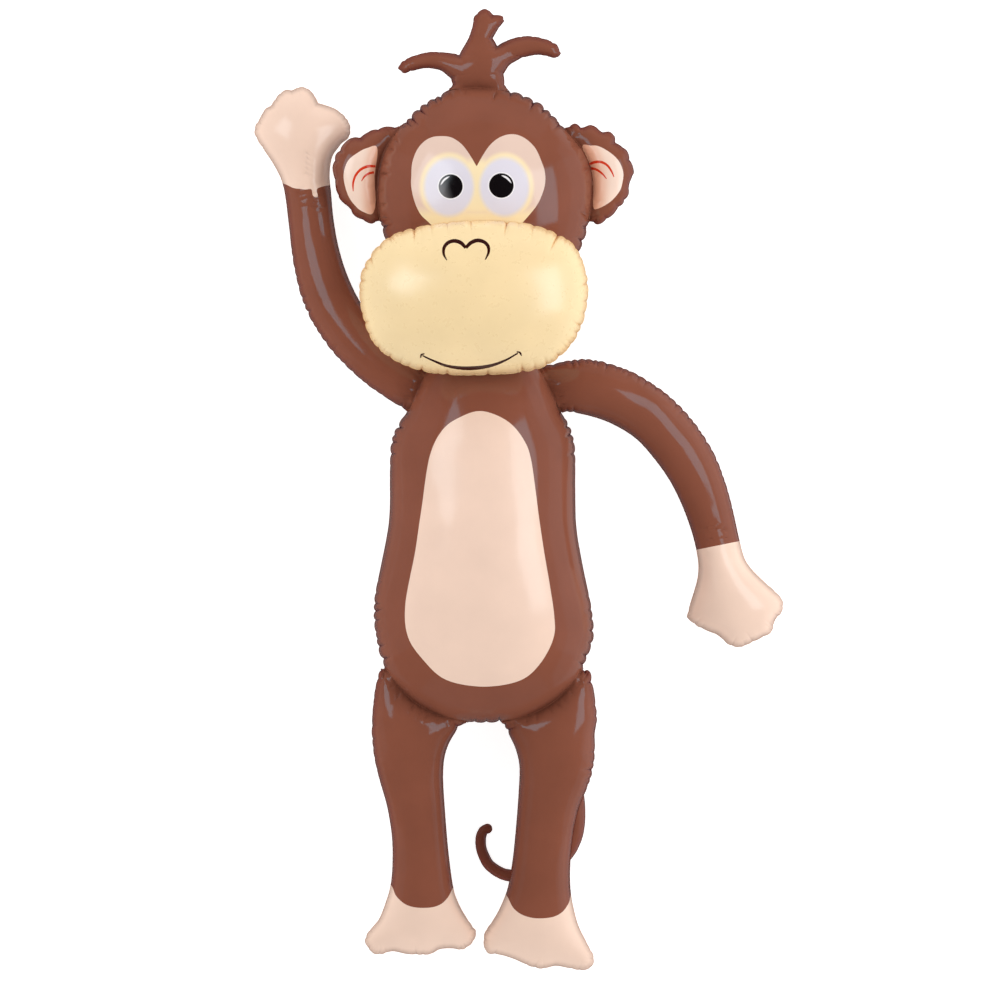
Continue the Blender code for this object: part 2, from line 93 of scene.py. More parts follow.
def makeCamera(sizes):
    data = bpy.data.cameras.new("camera")
    data.lens = sizes["lens"]
    data.sensor_width = sizes["sensor"]
    data.clip_end = sizes["farLimit"]
    scene.camera = added("camera", data)
    scene.camera.location = (*drawn(sizes["aim"]), sizes["height"])


makeCamera(camera)
print("camera set")


# ---- lines and outlines

def throughPoints(knots, step, closed=False):
    # evenly fine points on a Catmull-Rom curve
    knots = np.asarray(knots, float)
    if closed:
        ends = [knots[-1], *knots, knots[0], knots[1]]
    else:
        ends = [2 * knots[0] - knots[1], *knots, 2 * knots[-1] - knots[-2]]
    points = [ends[1]]
    for before, start, end, after in zip(ends, ends[1:], ends[2:], ends[3:]):
        count = max(1, round(float(np.linalg.norm(end - start)) / step))
        for t in (np.arange(count) + 1) / count:
            points.append(0.5 * (2 * start + (end - before) * t
                                 + (2 * before - 5 * start + 4 * end - after) * t ** 2
                                 + (3 * start - before - 3 * end + after) * t ** 3))
    return np.array(points)


def lengthsAlong(points):
    return np.r_[0, np.cumsum(np.linalg.norm(np.diff(points, axis=0), axis=1))]


def evenly(points, step):
    # a closed line's points moved to equal distances along it
    closed = np.vstack([points, points[:1]])
    length = lengthsAlong(closed)
    count = max(8, round(length[-1] / step))
    at = np.arange(count) / count * length[-1]
    return np.stack([np.interp(at, length, closed[:, i]) for i in range(points.shape[1])], axis=1)


def leftOf(ways):
    # unit vectors at right angles to the ways given
    ways = ways / np.linalg.norm(ways, axis=1)[:, None]
    return np.stack([-ways[:, 1], ways[:, 0]], axis=1)


def quarterTurn(way):
    return np.array([-way[1], way[0]])


def turnBetween(before, after):
    cross = before[:, 0] * after[:, 1] - before[:, 1] * after[:, 0]
    return np.arctan2(cross, (before * after).sum(axis=1))


def eased(t):
    t = np.clip(t, 0, 1)
    return t * t * (3 - 2 * t)


sharpTurns = {"notch": -28, "corner": 65}       # degrees


def smoothLoop(points, step):
    # smooth between its notches and corners, which stay sharp
    flat = points[:, :2]
    behind, ahead = flat - np.roll(flat, 1, axis=0), np.roll(flat, -1, axis=0) - flat
    turn = np.degrees(turnBetween(behind, ahead))
    corners = np.flatnonzero((turn < sharpTurns["notch"]) | (turn > sharpTurns["corner"]))
    if len(corners) == 0:
        return evenly(throughPoints(points, step / 3, closed=True)[:-1], step), []
    runs = []
    for start, end in zip(corners, np.roll(corners, -1)):
        index = (start + np.arange((end - start - 1) % len(points) + 2)) % len(points)
        runs.append(throughPoints(points[index], step / 3)[:-1])
    notches = points[corners[turn[corners] < 0]]
    return evenly(np.vstack(runs), step), notches


def insideLoop(points, loop):
    x, y = points[:, :1], points[:, 1:2]
    x0, y0 = loop[:, 0], loop[:, 1]
    x1, y1 = np.roll(loop[:, :2], -1, axis=0).T
    crosses = (y0 > y) != (y1 > y)
    rise = np.where(y1 == y0, 1, y1 - y0)
    return (crosses & (x < (x1 - x0) * (y - y0) / rise + x0)).sum(axis=1) % 2 == 1


def nearestOn(points, line, closed=True):
    # distance to a line and the index of its nearest segment, in batches to save memory
    starts = line[:, :2] if closed else line[:-1, :2]
    edges = np.roll(line[:, :2], -1, axis=0)[:len(starts)] - starts
    squared = (edges ** 2).sum(axis=1)
    far, index = np.empty(len(points)), np.empty(len(points), int)
    batch = 1500
    for first in range(0, len(points), batch):
        part = slice(first, first + batch)
        offset = points[part, None, :2] - starts[None]
        along = np.clip((offset * edges).sum(-1) / squared, 0, 1)
        apart = ((offset - along[..., None] * edges) ** 2).sum(-1)
        index[part] = apart.argmin(axis=1)
        far[part] = np.sqrt(apart.min(axis=1))
    return far, index


packedBand = {"tallest": 2.5 * mm, "offUpright": 2e-6, "samePoint": 1e-6}


def weldEdge(node):
    # the welded edge of a packed chamber: the corners of its upright band, in order
    bm = bmesh.new()
    bm.from_mesh(frame["nodes"][node].data)
    bmesh.ops.remove_doubles(bm, verts=bm.verts, dist=packedBand["samePoint"])
    below = {}
    for edge in bm.edges:
        low, high = sorted(edge.verts, key=lambda v: v.co.z)
        rise = high.co - low.co
        if rise.xy.length < packedBand["offUpright"] and rise.z < packedBand["tallest"]:
            below[high] = low
    beside = {v: [] for v in below}
    for edge in bm.edges:
        a, b = edge.verts
        if a in below and b in below:
            if any(below[a] in f.verts or below[b] in f.verts for f in edge.link_faces):
                beside[a].append(b)
                beside[b].append(a)
    loops, seen = [], set()
    for here in sorted(beside, key=lambda v: v.index):
        if here in seen or len(beside[here]) != 2:
            continue
        loops.append([])
        while here is not None:
            seen.add(here)
            loops[-1].append(here)
            here = next((v for v in beside[here] if v not in seen), None)
    loop = max(loops, key=len)
    edge = np.array([(v.co.x, v.co.y, (v.co.z + below[v].co.z) / 2) for v in loop])
    bm.free()
    x, y = edge[:, 0], edge[:, 1]
    area = (x * np.roll(y, -1) - np.roll(x, -1) * y).sum()
    return edge if area > 0 else edge[::-1]


def surfaceTree(mesh):
    return BVHTree.FromPolygons([v.co for v in mesh.vertices],
                                [face.vertices for face in mesh.polygons])


def heightAt(tree, x, y, fromBelow=False):
    # a ray from well outside the toy
    start, way = ((x, y, -1), (0, 0, 1)) if fromBelow else ((x, y, 2), (0, 0, -1))
    hit = tree.ray_cast(Vector(start), Vector(way))[0]
    return None if hit is None else hit.z


# ---- flat pattern: a triangle mesh that is fine beside the weld and coarse in the middle

pattern = {
    "edgeStep": 1.6 * mm,       # between points along the weld
    "strip": 0.7 * mm,          # width of the weld strip
    "rings": [0.25, 0.9, 1.9, 3.2, 4.7, 6.4, 8.3, 10.4, 12.8, 15.6, 19.0],    # mm inside it
    "ringSteps": [1, 1, 1, 1, 1, 1.1, 1.3, 1.5, 1.8, 2.1, 2.5],               # times edgeStep
    "gridStep": 4.4 * mm,
    "printStep": 1.8 * mm,
    "pulledBack": 0.8,          # times the strip: closer to the edge than this, it is moved
    "printMargin": 0.5 * mm,    # between the strip and a printed line's points
    "creaseAcross": [0.0, -0.9, 0.9, -2.1, 2.1],                              # mm
    "creaseAlong": (0.4 * mm, 0.9, 1.7 * mm),     # from, up to (times its reach), step
    "creaseLeast": 0.7 * mm, "creaseMargin": 0.2 * mm, "creaseRoom": 0.75 * mm,
    "ringSlack": 0.12 * mm, "ringSlackGain": 0.05, "ringRoom": 0.62,
    "gridMargin": 1.5, "gridRoom": 0.7,
}


def inwardNormals(loop, reach=2):
    edge = loop[:, :2]
    return leftOf(np.roll(edge, -reach, axis=0) - np.roll(edge, reach, axis=0))


def hexGrid(low, high, step):
    rows = np.arange(low[1], high[1], step * math.sqrt(3) / 2)
    columns = np.arange(low[0], high[0], step)
    return np.array([(x + step / 2 * (row % 2), y) for row, y in enumerate(rows)
                     for x in columns])


def thinned(kept, points, room):
    # which points keep their distance from each other and from those already kept
    cell = 1.5 * mm
    bins = {}

    def cellOf(x, y):
        return int(x // cell), int(y // cell)

    for x, y in kept:
        bins.setdefault(cellOf(x, y), []).append((x, y))
    good = []
    for index, ((x, y), free) in enumerate(zip(points.tolist(), room)):
        near = int(free // cell) + 1
        cx, cy = cellOf(x, y)
        if all((x - a) ** 2 + (y - b) ** 2 > free * free
               for i in range(cx - near, cx + near + 1) for j in range(cy - near, cy + near + 1)
               for a, b in bins.get((i, j), ())):
            bins.setdefault((cx, cy), []).append((x, y))
            good.append(index)
    return good


def alongCreases(creases):
    # rows of points down each crease, so that its sides are sharp
    rows = []
    for place, way, reach, deep, _, _ in creases:
        if deep < pattern["creaseLeast"]:
            continue
        across = quarterTurn(way)
        start, upTo, step = pattern["creaseAlong"]
        for along in np.arange(start, reach * upTo, step):
            rows += [place + way * along + across * side * mm for side in pattern["creaseAcross"]]
    return np.array(rows).reshape(-1, 2)


def flatPattern(rim, prints, creases, extra):
    step, width = pattern["edgeStep"], pattern["strip"]
    edge = rim[:, :2]
    strip = edge + inwardNormals(rim) * width

    def within(points, far):
        points = points[insideLoop(points, edge)]
        return points[nearestOn(points, edge)[0] > far]

    # where a notch or a tight lobe would cross the strip, it is pulled back to the edge
    for _ in range(12):
        bad = ~insideLoop(strip, edge) | (nearestOn(strip, edge)[0] < width * pattern["pulledBack"])
        if not bad.any():
            break
        smoothed = (np.roll(strip, 1, axis=0) + np.roll(strip, -1, axis=0)) / 2
        strip[bad] = smoothed[bad]
    count = len(edge)
    constraints = [(count + i, count + (i + 1) % count) for i in range(count)]
    placed, total = [edge, strip], 2 * count
    for shape in prints:
        line = shape["loop"]
        inside = nearestOn(line, edge)[0] > width + pattern["printMargin"]
        inside &= insideLoop(line, edge)
        index = np.full(len(line), -1)
        index[inside] = total + np.arange(inside.sum())
        placed.append(line[inside])
        total += int(inside.sum())
        constraints += [(int(a), int(b)) for a, b in zip(index, np.roll(index, -1))
                        if a >= 0 and b >= 0]
    # points with the room each needs: down the creases, in rings inside the strip, then a grid
    sharp = within(np.vstack([extra, alongCreases(creases)]), width + pattern["creaseMargin"])
    candidates, room = [sharp], [np.full(len(sharp), pattern["creaseRoom"])]
    for depth, spread in zip(pattern["rings"], pattern["ringSteps"]):
        offset = width + depth * mm
        every = evenly(rim, step * spread)
        ring = within(every[:, :2] + inwardNormals(every) * offset,
                      offset - pattern["ringSlack"] - pattern["ringSlackGain"] * depth * mm)
        candidates.append(ring)
        apart = min(step * spread, max(step, depth * mm))
        room.append(np.full(len(ring), apart * pattern["ringRoom"]))
    grid = within(hexGrid(edge.min(axis=0), edge.max(axis=0), pattern["gridStep"]),
                  width + (pattern["rings"][-1] + pattern["gridMargin"]) * mm)
    candidates = np.vstack([*candidates, grid])
    room = np.concatenate([*room, np.full(len(grid), pattern["gridStep"] * pattern["gridRoom"])])
    if prints:
        # stay clear of the printed lines, whose points are already there
        clear = thinned(np.vstack(placed[2:]), candidates,
                        np.minimum(room, pattern["printStep"] * pattern["gridRoom"]))
        candidates, room = candidates[clear], room[clear]
    points = np.vstack([*placed, candidates[thinned((), candidates, room)]])
    made = delaunay_2d_cdt([Vector(p) for p in points], constraints, [list(range(count))], 1, 1e-8)
    flat, faces, sources = made[0], made[2], made[3]
    order = sorted(range(len(flat)), key=lambda i: min(sources[i], default=len(points)))
    place = np.empty(len(flat), int)
    place[order] = np.arange(len(flat))
    return np.array([flat[i][:] for i in order]), place[np.array([list(f) for f in faces])]


# ---- pressure: a membrane's height over the pattern

def cotWeights(points, triangles):
    rows, columns, weights = [], [], []
    load = np.zeros(len(points))
    for corner in range(3):
        i, j, k = (triangles[:, (corner + n) % 3] for n in range(3))
        toI, toJ = points[i] - points[k], points[j] - points[k]
        cross = np.abs(toI[:, 0] * toJ[:, 1] - toI[:, 1] * toJ[:, 0])
        weight = (toI * toJ).sum(axis=1) / np.maximum(cross, 1e-12) / 2
        rows += [i, j]
        columns += [j, i]
        weights += [weight, weight]
        load += np.bincount(k, cross / 6, len(points))
    return [np.concatenate(part) for part in (rows, columns, weights)], load


solver = {"steps": 3000, "goal": 1e-14}


def relaxed(links, fixed, start, load):
    # conjugate gradients: free points settle between the fixed ones
    rows, columns, weights = links
    size = len(start)
    diagonal = np.bincount(rows, weights, size)
    free = np.ones(size)
    free[fixed] = 0

    def pull(x):
        return (diagonal * x - np.bincount(rows, weights * x[columns], size)) * free

    x = start.copy()
    left = load * free - pull(x)
    scaled = left / np.maximum(diagonal, 1e-9)
    way = scaled.copy()
    energy = left @ scaled
    goal = energy * solver["goal"]
    for _ in range(solver["steps"]):
        if energy <= goal:
            break
        pulled = pull(way)
        stride = energy / (way @ pulled)
        x += stride * way
        left -= stride * pulled
        scaled = left / np.maximum(diagonal, 1e-9)
        fresh = left @ scaled
        way = scaled + way * fresh / energy
        energy = fresh
    return x


def pointNormals(points, triangles):
    a, b, c = (points[triangles[:, i]] for i in range(3))
    faces = np.cross(b - a, c - a)
    total = np.stack([sum(np.bincount(triangles[:, corner], faces[:, axis], len(points))
                          for corner in range(3)) for axis in range(3)], axis=1)
    return total / np.maximum(np.linalg.norm(total, axis=1), 1e-15)[:, None]


def softFloor(z, floor, blend):
    # the larger of two heights, with a rounded meeting
    gap = z - floor
    return floor + (gap + np.sqrt(gap ** 2 + blend ** 2)) / 2


# ---- puckers

puckers = {
    "window": 36 * mm,            # of edge over which its curve is measured
    "strength": (0.55, 1.15), "tilt": 0.14, "pitch": (0.65, 1.35), "faintest": 0.12,
    "reach": (0.5, 1.35), "reachAtRest": 0.55, "reachGain": 0.45,
    "mouth": 2.5 * mm, "spread": 0.9, "sharpness": 1.05, "span": 6,
}


def edgeCurvature(rim, window):
    step = np.linalg.norm(rim[1, :2] - rim[0, :2])
    reach = max(1, round(window / 2 / step))
    along = np.roll(rim[:, :2], -2, axis=0) - np.roll(rim[:, :2], 2, axis=0)
    return turnBetween(np.roll(along, reach, axis=0),
                       np.roll(along, -reach, axis=0)) / (2 * reach * step)


def scatterCreases(rim, family, shared, rng):
    # creases that run inwards from the weld: more and deeper where the edge is convex
    count = len(rim)
    step = np.linalg.norm(rim[1, :2] - rim[0, :2])
    curve = np.clip(edgeCurvature(rim, puckers["window"]) * family["fullAt"], 0, 1)
    where = family.get("where", "all")
    inwards = inwardNormals(rim, 4)
    creases = []
    at = rng.uniform(0, family["pitch"])
    while at < count * step / mm:
        i = int(at * mm / step) % count
        strength = family["calm"] + (1 - family["calm"]) * curve[i]
        strength *= rng.uniform(*puckers["strength"])
        tilt = rng.normal(0, family.get("tilt", puckers["tilt"]))
        way = inwards[i] * math.cos(tilt) + quarterTurn(inwards[i]) * math.sin(tilt)
        reach = family["reach"] * rng.uniform(*puckers["reach"])
        reach *= puckers["reachAtRest"] + puckers["reachGain"] * strength
        notch = 0.0 if shared[i] else family["notch"]
        here = where == "all" or shared[i] == (where == "shared")
        if strength > puckers["faintest"] and here:
            creases.append((rim[i, :2], way, reach * mm, family["depth"] * strength * mm,
                            family["width"] * mm, notch))
        at += family["pitch"] * rng.uniform(*puckers["pitch"])
    return creases


def easedInside(chosen, reach):
    # 1 well inside each chosen stretch of the edge, easing to 0 at its ends
    steps = np.full(len(chosen), np.inf)
    steps[~chosen] = 0
    for way in (1, -1):
        for _ in range(int(reach / pattern["edgeStep"]) + 1):
            steps = np.minimum(steps, np.roll(steps, way) + 1)
    return eased(steps * pattern["edgeStep"] / reach)


def creaseDepth(points, creases, onEdge=False):
    depth = np.zeros(len(points))
    mouthReach, spread = puckers["mouth"], puckers["spread"]
    for place, way, reach, deep, width, notch in creases:
        offset = points[:, :2] - place
        along = offset @ way
        across = np.abs(offset @ quarterTurn(way))
        near = (along > -mouthReach) & (along < reach) & (across < puckers["span"] * width)
        t = np.clip(along[near] / reach, 0, 1)
        # a crease has a wide mouth at the weld and spreads again where it fades
        mouth = np.exp(-np.maximum(along[near], 0) / mouthReach)
        wide = width * (1 + spread * t + spread * mouth)
        valley = np.exp(-(across[near] / wide) ** puckers["sharpness"])
        amount = deep * (1 - t) * valley
        depth[near] = np.maximum(depth[near], amount * (notch if onEdge else 1))
    return depth


# ---- film materials

def toLinear(code):
    channels = [int(code[i:i + 2], 16) / 255 for i in (1, 3, 5)]
    return (*[c / 12.92 if c <= 0.04045 else ((c + 0.055) / 1.055) ** 2.4 for c in channels], 1)


def setInputs(tree, node, inputs):
    for name, value in inputs.items():
        if isinstance(value, bpy.types.NodeSocket):
            tree.links.new(value, node.inputs[name])
        else:
            node.inputs[name].default_value = value


def addNode(tree, kind, inputs=None, **settings):
    node = tree.nodes.new(kind)
    for name, value in settings.items():
        setattr(node, name, value)
    setInputs(tree, node, inputs or {})
    return node


def newMaterial(name):
    material = bpy.data.materials.new(name)
    material.use_nodes = True
    tree = material.node_tree
    return material, tree, tree.nodes["Principled BSDF"]


def calculated(tree, operation, *values, kind="ShaderNodeMath", output=0):
    node = addNode(tree, kind, dict(enumerate(values)), operation=operation)
    return node.outputs[output]


def ramp(tree, value, low, high, start=0.0, end=1.0, shape="SMOOTHSTEP"):
    return addNode(tree, "ShaderNodeMapRange", {
        "Value": value, "From Min": low, "From Max": high, "To Min": start, "To Max": end},
        interpolation_type=shape).outputs["Result"]


def mixed(tree, amount, below, above, **settings):
    return addNode(tree, "ShaderNodeMix", {0: amount, 6: below, 7: above}, data_type="RGBA",
                   **settings).outputs[2]


def noise(tree, place, size, **inputs):
    return addNode(tree, "ShaderNodeTexNoise", {
        "Vector": place, "Scale": 1 / size, **inputs}).outputs["Fac"]


def bump(tree, height, distance, **inputs):
    return addNode(tree, "ShaderNodeBump", {
        "Height": height, "Distance": distance, "Strength": 1.0, **inputs}).outputs["Normal"]


def attribute(tree, name):
    return addNode(tree, "ShaderNodeAttribute", attribute_name=name).outputs["Fac"]


# Calendered PVC film, gravure printed and then welded: smooth and semi-glossy, with a clear
# reflection on top of a softer one, faint streaks from the rollers and slightly uneven ink.
# The toner in the brown ink makes its gloss cool. The pale inks have a satin varnish over them,
# which reflects more and blurs it.
film = {
    "coolGloss": "#89E5FF", "paleGloss": "#E8F6FF", "coat": 0.03, "coatRoughness": 0.04,
    "inkPatch": 55 * mm, "scuff": 9 * mm, "grain": 1.1 * mm, "streak": 3.5 * mm,
    "grainHeight": 0.005 * mm, "streakHeight": 0.03 * mm,
    # the first two set the painted shade: how much deeper it is in a fold, and its reach from the
    # weld
    "foldShade": 1.6, "edgeShadeRange": (7 * mm, 0.5 * mm), "noiseRange": (0.3, 0.7),
    "rollerStretch": (1.0, 0.04, 1.0),
}


def filmMaterial(name, ink, edgeShade, unevenness=0.05, roughness=(0.09, 0.15), ior=1.45,
                 gloss=film["paleGloss"]):
    # ink is a colour, or the function that paints it; the second colour is the painted shade
    # beside the weld and in folds
    material, tree, shader = newMaterial(name)
    place = addNode(tree, "ShaderNodeTexCoord").outputs["Object"]
    shade = ramp(tree, noise(tree, place, film["inkPatch"], Detail=3.0), *film["noiseRange"],
                 1 - unevenness, 1 + unevenness, "LINEAR")
    # painted shade: darker and warmer towards the weld, where the film turns down into the seam,
    # and darker still along a fold
    edgeShadeAmount = ramp(tree, attribute(tree, "fromWeld"), *film["edgeShadeRange"])
    shadeAmount = calculated(tree, "MULTIPLY_ADD", attribute(tree, "folded"), film["foldShade"], edgeShadeAmount)
    edged = mixed(tree, shadeAmount, ink(tree, place) if callable(ink) else toLinear(ink),
                  toLinear(edgeShade), clamp_factor=False)
    tinted = addNode(tree, "ShaderNodeVectorMath", {0: edged, "Scale": shade}, operation="SCALE")
    scuff = noise(tree, place, film["scuff"], Detail=5.0, Roughness=0.6)
    rough = ramp(tree, scuff, *film["noiseRange"], *roughness, "LINEAR")
    rollers = addNode(tree, "ShaderNodeMapping", {"Vector": place, "Scale": film["rollerStretch"]})
    streaks = bump(tree, noise(tree, rollers.outputs[0], film["streak"], Detail=2.0),
                   film["streakHeight"])
    setInputs(tree, shader, {
        "Base Color": tinted.outputs[0], "Roughness": rough,
        "Normal": bump(tree, noise(tree, place, film["grain"], Detail=2.0), film["grainHeight"],
                       Normal=streaks),
        "IOR": ior, "Specular Tint": toLinear(gloss),
        "Coat Weight": film["coat"], "Coat Roughness": film["coatRoughness"]})
    return material


# Eyes printed on the face: lilac whites that fade through yellow into the skin colour
eyes = {
    "white": "#E4DFEA", "halo": "#FFEABC", "skin": "#E9CCBC", "pupil": "#120E10",
    "glint": "#F7F4F6", "grey": "#7C7A7C",
    "places": [(-42, 642.5), (24.5, 642.5)], "radii": (30.5, 36),
    "pupils": [(-39.9, 643.2, 14.3), (20.8, 644.2, 14.6)],
    "glintWay": [(-0.70, 0.71, 0), (0.62, 0.78, 0)],
    "brow": 606, "browFade": 17,        # mm above the crotch where the halo is full, and its fade
    # ramps: 1 is the outline of an eye's white, or of its pupil
    "whiteRamp": (1.08, 0.86), "haloRamp": (1.24, 1.05, 0.0, 0.85),
    "betweenRamp": (3.1, 2.6, 0.0, 0.95), "rimRamp": (1.13, 1.08), "pupilRamp": (1.03, 0.99),
    # the eye on the left fades to grey on its outer side
    "greySide": 0, "greyWay": (-0.95, -0.3, 0), "greyRamp": (-0.1, 1.05, 0.0, 0.8),
    "glintAt": 0.77, "glintRamp": (0.1, 0.05), "glintSideRamp": (0.62, 0.7),
}


def eyePaint(tree, place):
    shades = {name: toLinear(eyes[name])
              for name in ("white", "halo", "skin", "pupil", "glint", "grey")}

    def measured(operation, *values):
        return calculated(tree, operation, *values, kind="ShaderNodeVectorMath", output="Value")

    def fromCentre(x, y, across, up):
        # 1 on an ellipse about the centre; height is left out, so it prints straight down
        x, y = drawn((x, y))
        across, up = across * mm, up * mm
        moved = addNode(tree, "ShaderNodeMapping", {
            "Vector": place, "Location": (-x / across, -y / up, 0),
            "Scale": (1 / across, 1 / up, 0)}).outputs[0]
        return moved, measured("LENGTH", moved)

    near = [fromCentre(*centre, *eyes["radii"])[1] for centre in eyes["places"]]
    nearest = calculated(tree, "MINIMUM", *near)
    height = addNode(tree, "ShaderNodeSeparateXYZ", {0: place}).outputs["Y"]
    browY = drawn((0, eyes["brow"]))[1]
    low = ramp(tree, height, browY + eyes["browFade"] * mm, browY)
    between = ramp(tree, calculated(tree, "ADD", *near), *eyes["betweenRamp"])
    halo = calculated(tree, "MAXIMUM", ramp(tree, nearest, *eyes["haloRamp"]),
                      calculated(tree, "MAXIMUM", low, between))
    colour = mixed(tree, halo, shades["skin"], shades["halo"])
    colour = mixed(tree, ramp(tree, nearest, *eyes["whiteRamp"]), colour, shades["white"])
    for index, (x, y, radius) in enumerate(eyes["pupils"]):
        offset, out = fromCentre(x, y, radius, radius)
        colour = mixed(tree, ramp(tree, out, *eyes["rimRamp"]), colour, shades["glint"])
        pupil = shades["pupil"]
        if index == eyes["greySide"]:
            side = ramp(tree, measured("DOT_PRODUCT", offset, eyes["greyWay"]), *eyes["greyRamp"])
            pupil = mixed(tree, side, pupil, shades["grey"])
        colour = mixed(tree, ramp(tree, out, *eyes["pupilRamp"]), colour, pupil)
        fromRing = calculated(tree, "SUBTRACT", out, eyes["glintAt"])
        ring = ramp(tree, calculated(tree, "ABSOLUTE", fromRing), *eyes["glintRamp"])
        side = measured("DOT_PRODUCT", offset, eyes["glintWay"][index])
        side = ramp(tree, side, *eyes["glintSideRamp"])
        arc = calculated(tree, "MULTIPLY", ring, side)
        colour = mixed(tree, arc, colour, shades["glint"])
    return colour


# Ear linings run from pink skin at the outside to a warm orange painted shade in the fold
# beside the head
earShades = {"outer": "#FBDFCE", "shadeByHead": "#F7B594", "from": 24 * mm, "to": 3 * mm}


def earLiningAndShade(tree, place):
    # painted shade: warmer and darker towards the fold beside the head
    amount = ramp(tree, attribute(tree, "fromHead"), earShades["from"], earShades["to"])
    return mixed(tree, amount, toLinear(earShades["outer"]), toLinear(earShades["shadeByHead"]))


inks = {
    "brown": filmMaterial("printed_pvc_film_brown", "#8A513E", "#7C4032",
                          gloss=film["coolGloss"]),
    "skin": filmMaterial("printed_pvc_film_skin", "#F7D7C3", "#DFC0AE", unevenness=0.03,
                         roughness=(0.16, 0.22), ior=1.52),
    "cream": filmMaterial("printed_pvc_film_cream", "#FFE2AD", "#F5D09A", unevenness=0.03,
                          roughness=(0.26, 0.32), ior=1.86),
    "eyes": filmMaterial("printed_pvc_film_eyes", eyePaint, "#E9B99C", unevenness=0.02),
    "ear": filmMaterial("printed_pvc_film_ear_lining", earLiningAndShade, "#E8A587"),
    "line": filmMaterial("printed_pvc_film_dark_line", "#330C07", "#330C07"),
    "red": filmMaterial("printed_pvc_film_red_line", "#DA3D20", "#DA3D20"),
}
inkOrder = list(inks)
print("film materials made")


# ---- a chamber: pattern, pressure, puckers and print

nowhere = np.zeros((0, 2))

# Where two chambers share a weld, their films press together and part only higher up, at the
# smaller of their two heights here (mm above the weld)
meetingHeights = {
    "torso": 21, "head": 15, "arm_raised": 17, "arm_lowered": 17, "leg_left": 14,
    "leg_right": 14, "ear_left": 7, "ear_right": 7, "hair_tuft": 12,
}


sheetSizes = {
    "film": 0.9 * mm,
    "sameWeld": 1.6 * mm,         # edges this close share one weld
    "overlap": 0.06 * mm,         # and pass each other by this, so no light comes through
    "partingRun": 16 * mm,        # along the edge, over which the films part and meet again
    "sharedFade": 3 * mm,         # from it, over which puckers and ripples grow back
    # depth, width and what is left of the depth on the edge
    "notchFold": (1.8 * mm, 2.6 * mm, 0.3),
    "markedFoldOnEdge": 0.8,
    "calmPrint": 0.5,             # hands and feet are tighter, so they pucker less
    "weaveLength": 14 * mm, "weaveFade": 14 * mm, "weaveSmooth": 5,
    "rippleLengths": (5.3, 7.1, 11.7), "rippleFade": 6 * mm,
    "wanderWaves": 7, "wanderLengths": (38, 95), "wanderFade": 16 * mm,
    "roofBlend": 0.8 * mm, "groundGap": 0.1 * mm, "groundBlend": 0.4 * mm,
    # the painted shade beside the weld is left out along a shared weld, over this reach
    "unshadedReach": 8 * mm,         # beside and along a shared weld
    "foldFull": 3 * mm, "foldFaint": 0.25, "sharpAngle": 58,
}


def chamberEdge(name, beside):
    rim, notches = smoothLoop(weldEdge(name), pattern["edgeStep"])
    shared, meetAt = np.zeros(len(rim), bool), np.zeros(len(rim))
    outwards = -inwardNormals(rim)
    for other in beside:
        apart = nearestOn(rim, weldEdge(other))[0]
        meets = apart < sheetSizes["sameWeld"]
        shared |= meets
        meetAt[meets] = min(meetingHeights[name], meetingHeights[other]) * mm
        # both edges of a shared weld are drawn to the middle of it
        rim[meets, :2] += outwards[meets] * (apart[meets, None] / 2 + sheetSizes["overlap"])
    return rim, notches, shared, meetAt * easedInside(shared, sheetSizes["partingRun"])


def chamberCreases(rim, notches, shared, sizes, wrapped, marked, rng):
    creases = []
    for family in sizes["creases"]:
        creases += scatterCreases(rim, family, shared, rng)
    inwards = inwardNormals(rim, 4)
    for notch in notches:
        i = int(np.argmin(((rim[:, :2] - notch[:2]) ** 2).sum(axis=1)))
        creases.append((rim[i, :2], inwards[i], sizes["notchReach"] * mm,
                        *sheetSizes["notchFold"]))
    for shape in wrapped:
        calm = insideLoop(np.array([crease[0] for crease in creases]), shape["loop"])
        creases = [(place, way, reach, deep * (sheetSizes["calmPrint"] if c else 1), width, notch)
                   for c, (place, way, reach, deep, width, notch) in zip(calm, creases)]
    for begin, end, deep, width in marked:
        begin, end = drawn(begin), drawn(end)
        reach = float(np.linalg.norm(end - begin))
        creases.append((begin, (end - begin) / reach, reach, deep * mm, width * mm,
                        sheetSizes["markedFoldOnEdge"]))
    return creases


def inflated(flat, triangles, rim, meetAt, fullness):
    # how far each sheet stands off the seam, and the height of the seam across the pattern
    links, load = cotWeights(flat, triangles)
    count, size = len(rim), len(flat)
    held = np.arange(2 * count)
    bulge = np.zeros(size)
    bulge[:2 * count] = np.tile((meetAt / fullness) ** 2, 2)
    bulge = relaxed(links, held, bulge, 2 * load)
    start = np.full(size, rim[:, 2].mean())
    start[:count] = start[count:2 * count] = rim[:, 2]
    return (np.sqrt(np.maximum(bulge, 0)) * fullness + sheetSizes["film"] / 2,
            relaxed(links, held, start, np.zeros(size)))


def weldWeave(shared, amount, rng):
    # the weld itself weaves up and down between the puckers
    count, half = len(shared), sheetSizes["weaveSmooth"]
    waves = max(6, int(count * pattern["edgeStep"] / sheetSizes["weaveLength"]))
    knots = np.sort(rng.choice(count, waves, replace=False))
    values = rng.normal(0, amount, len(knots))
    weave = np.interp(np.arange(count), np.r_[knots, knots[0] + count],
                      np.r_[values, values[0]], period=count)
    kernel = np.hanning(2 * half + 1) / np.hanning(2 * half + 1).sum()
    weave = np.convolve(np.r_[weave[-half:], weave, weave[:half]], kernel, "valid")
    weave[shared] = 0
    return weave


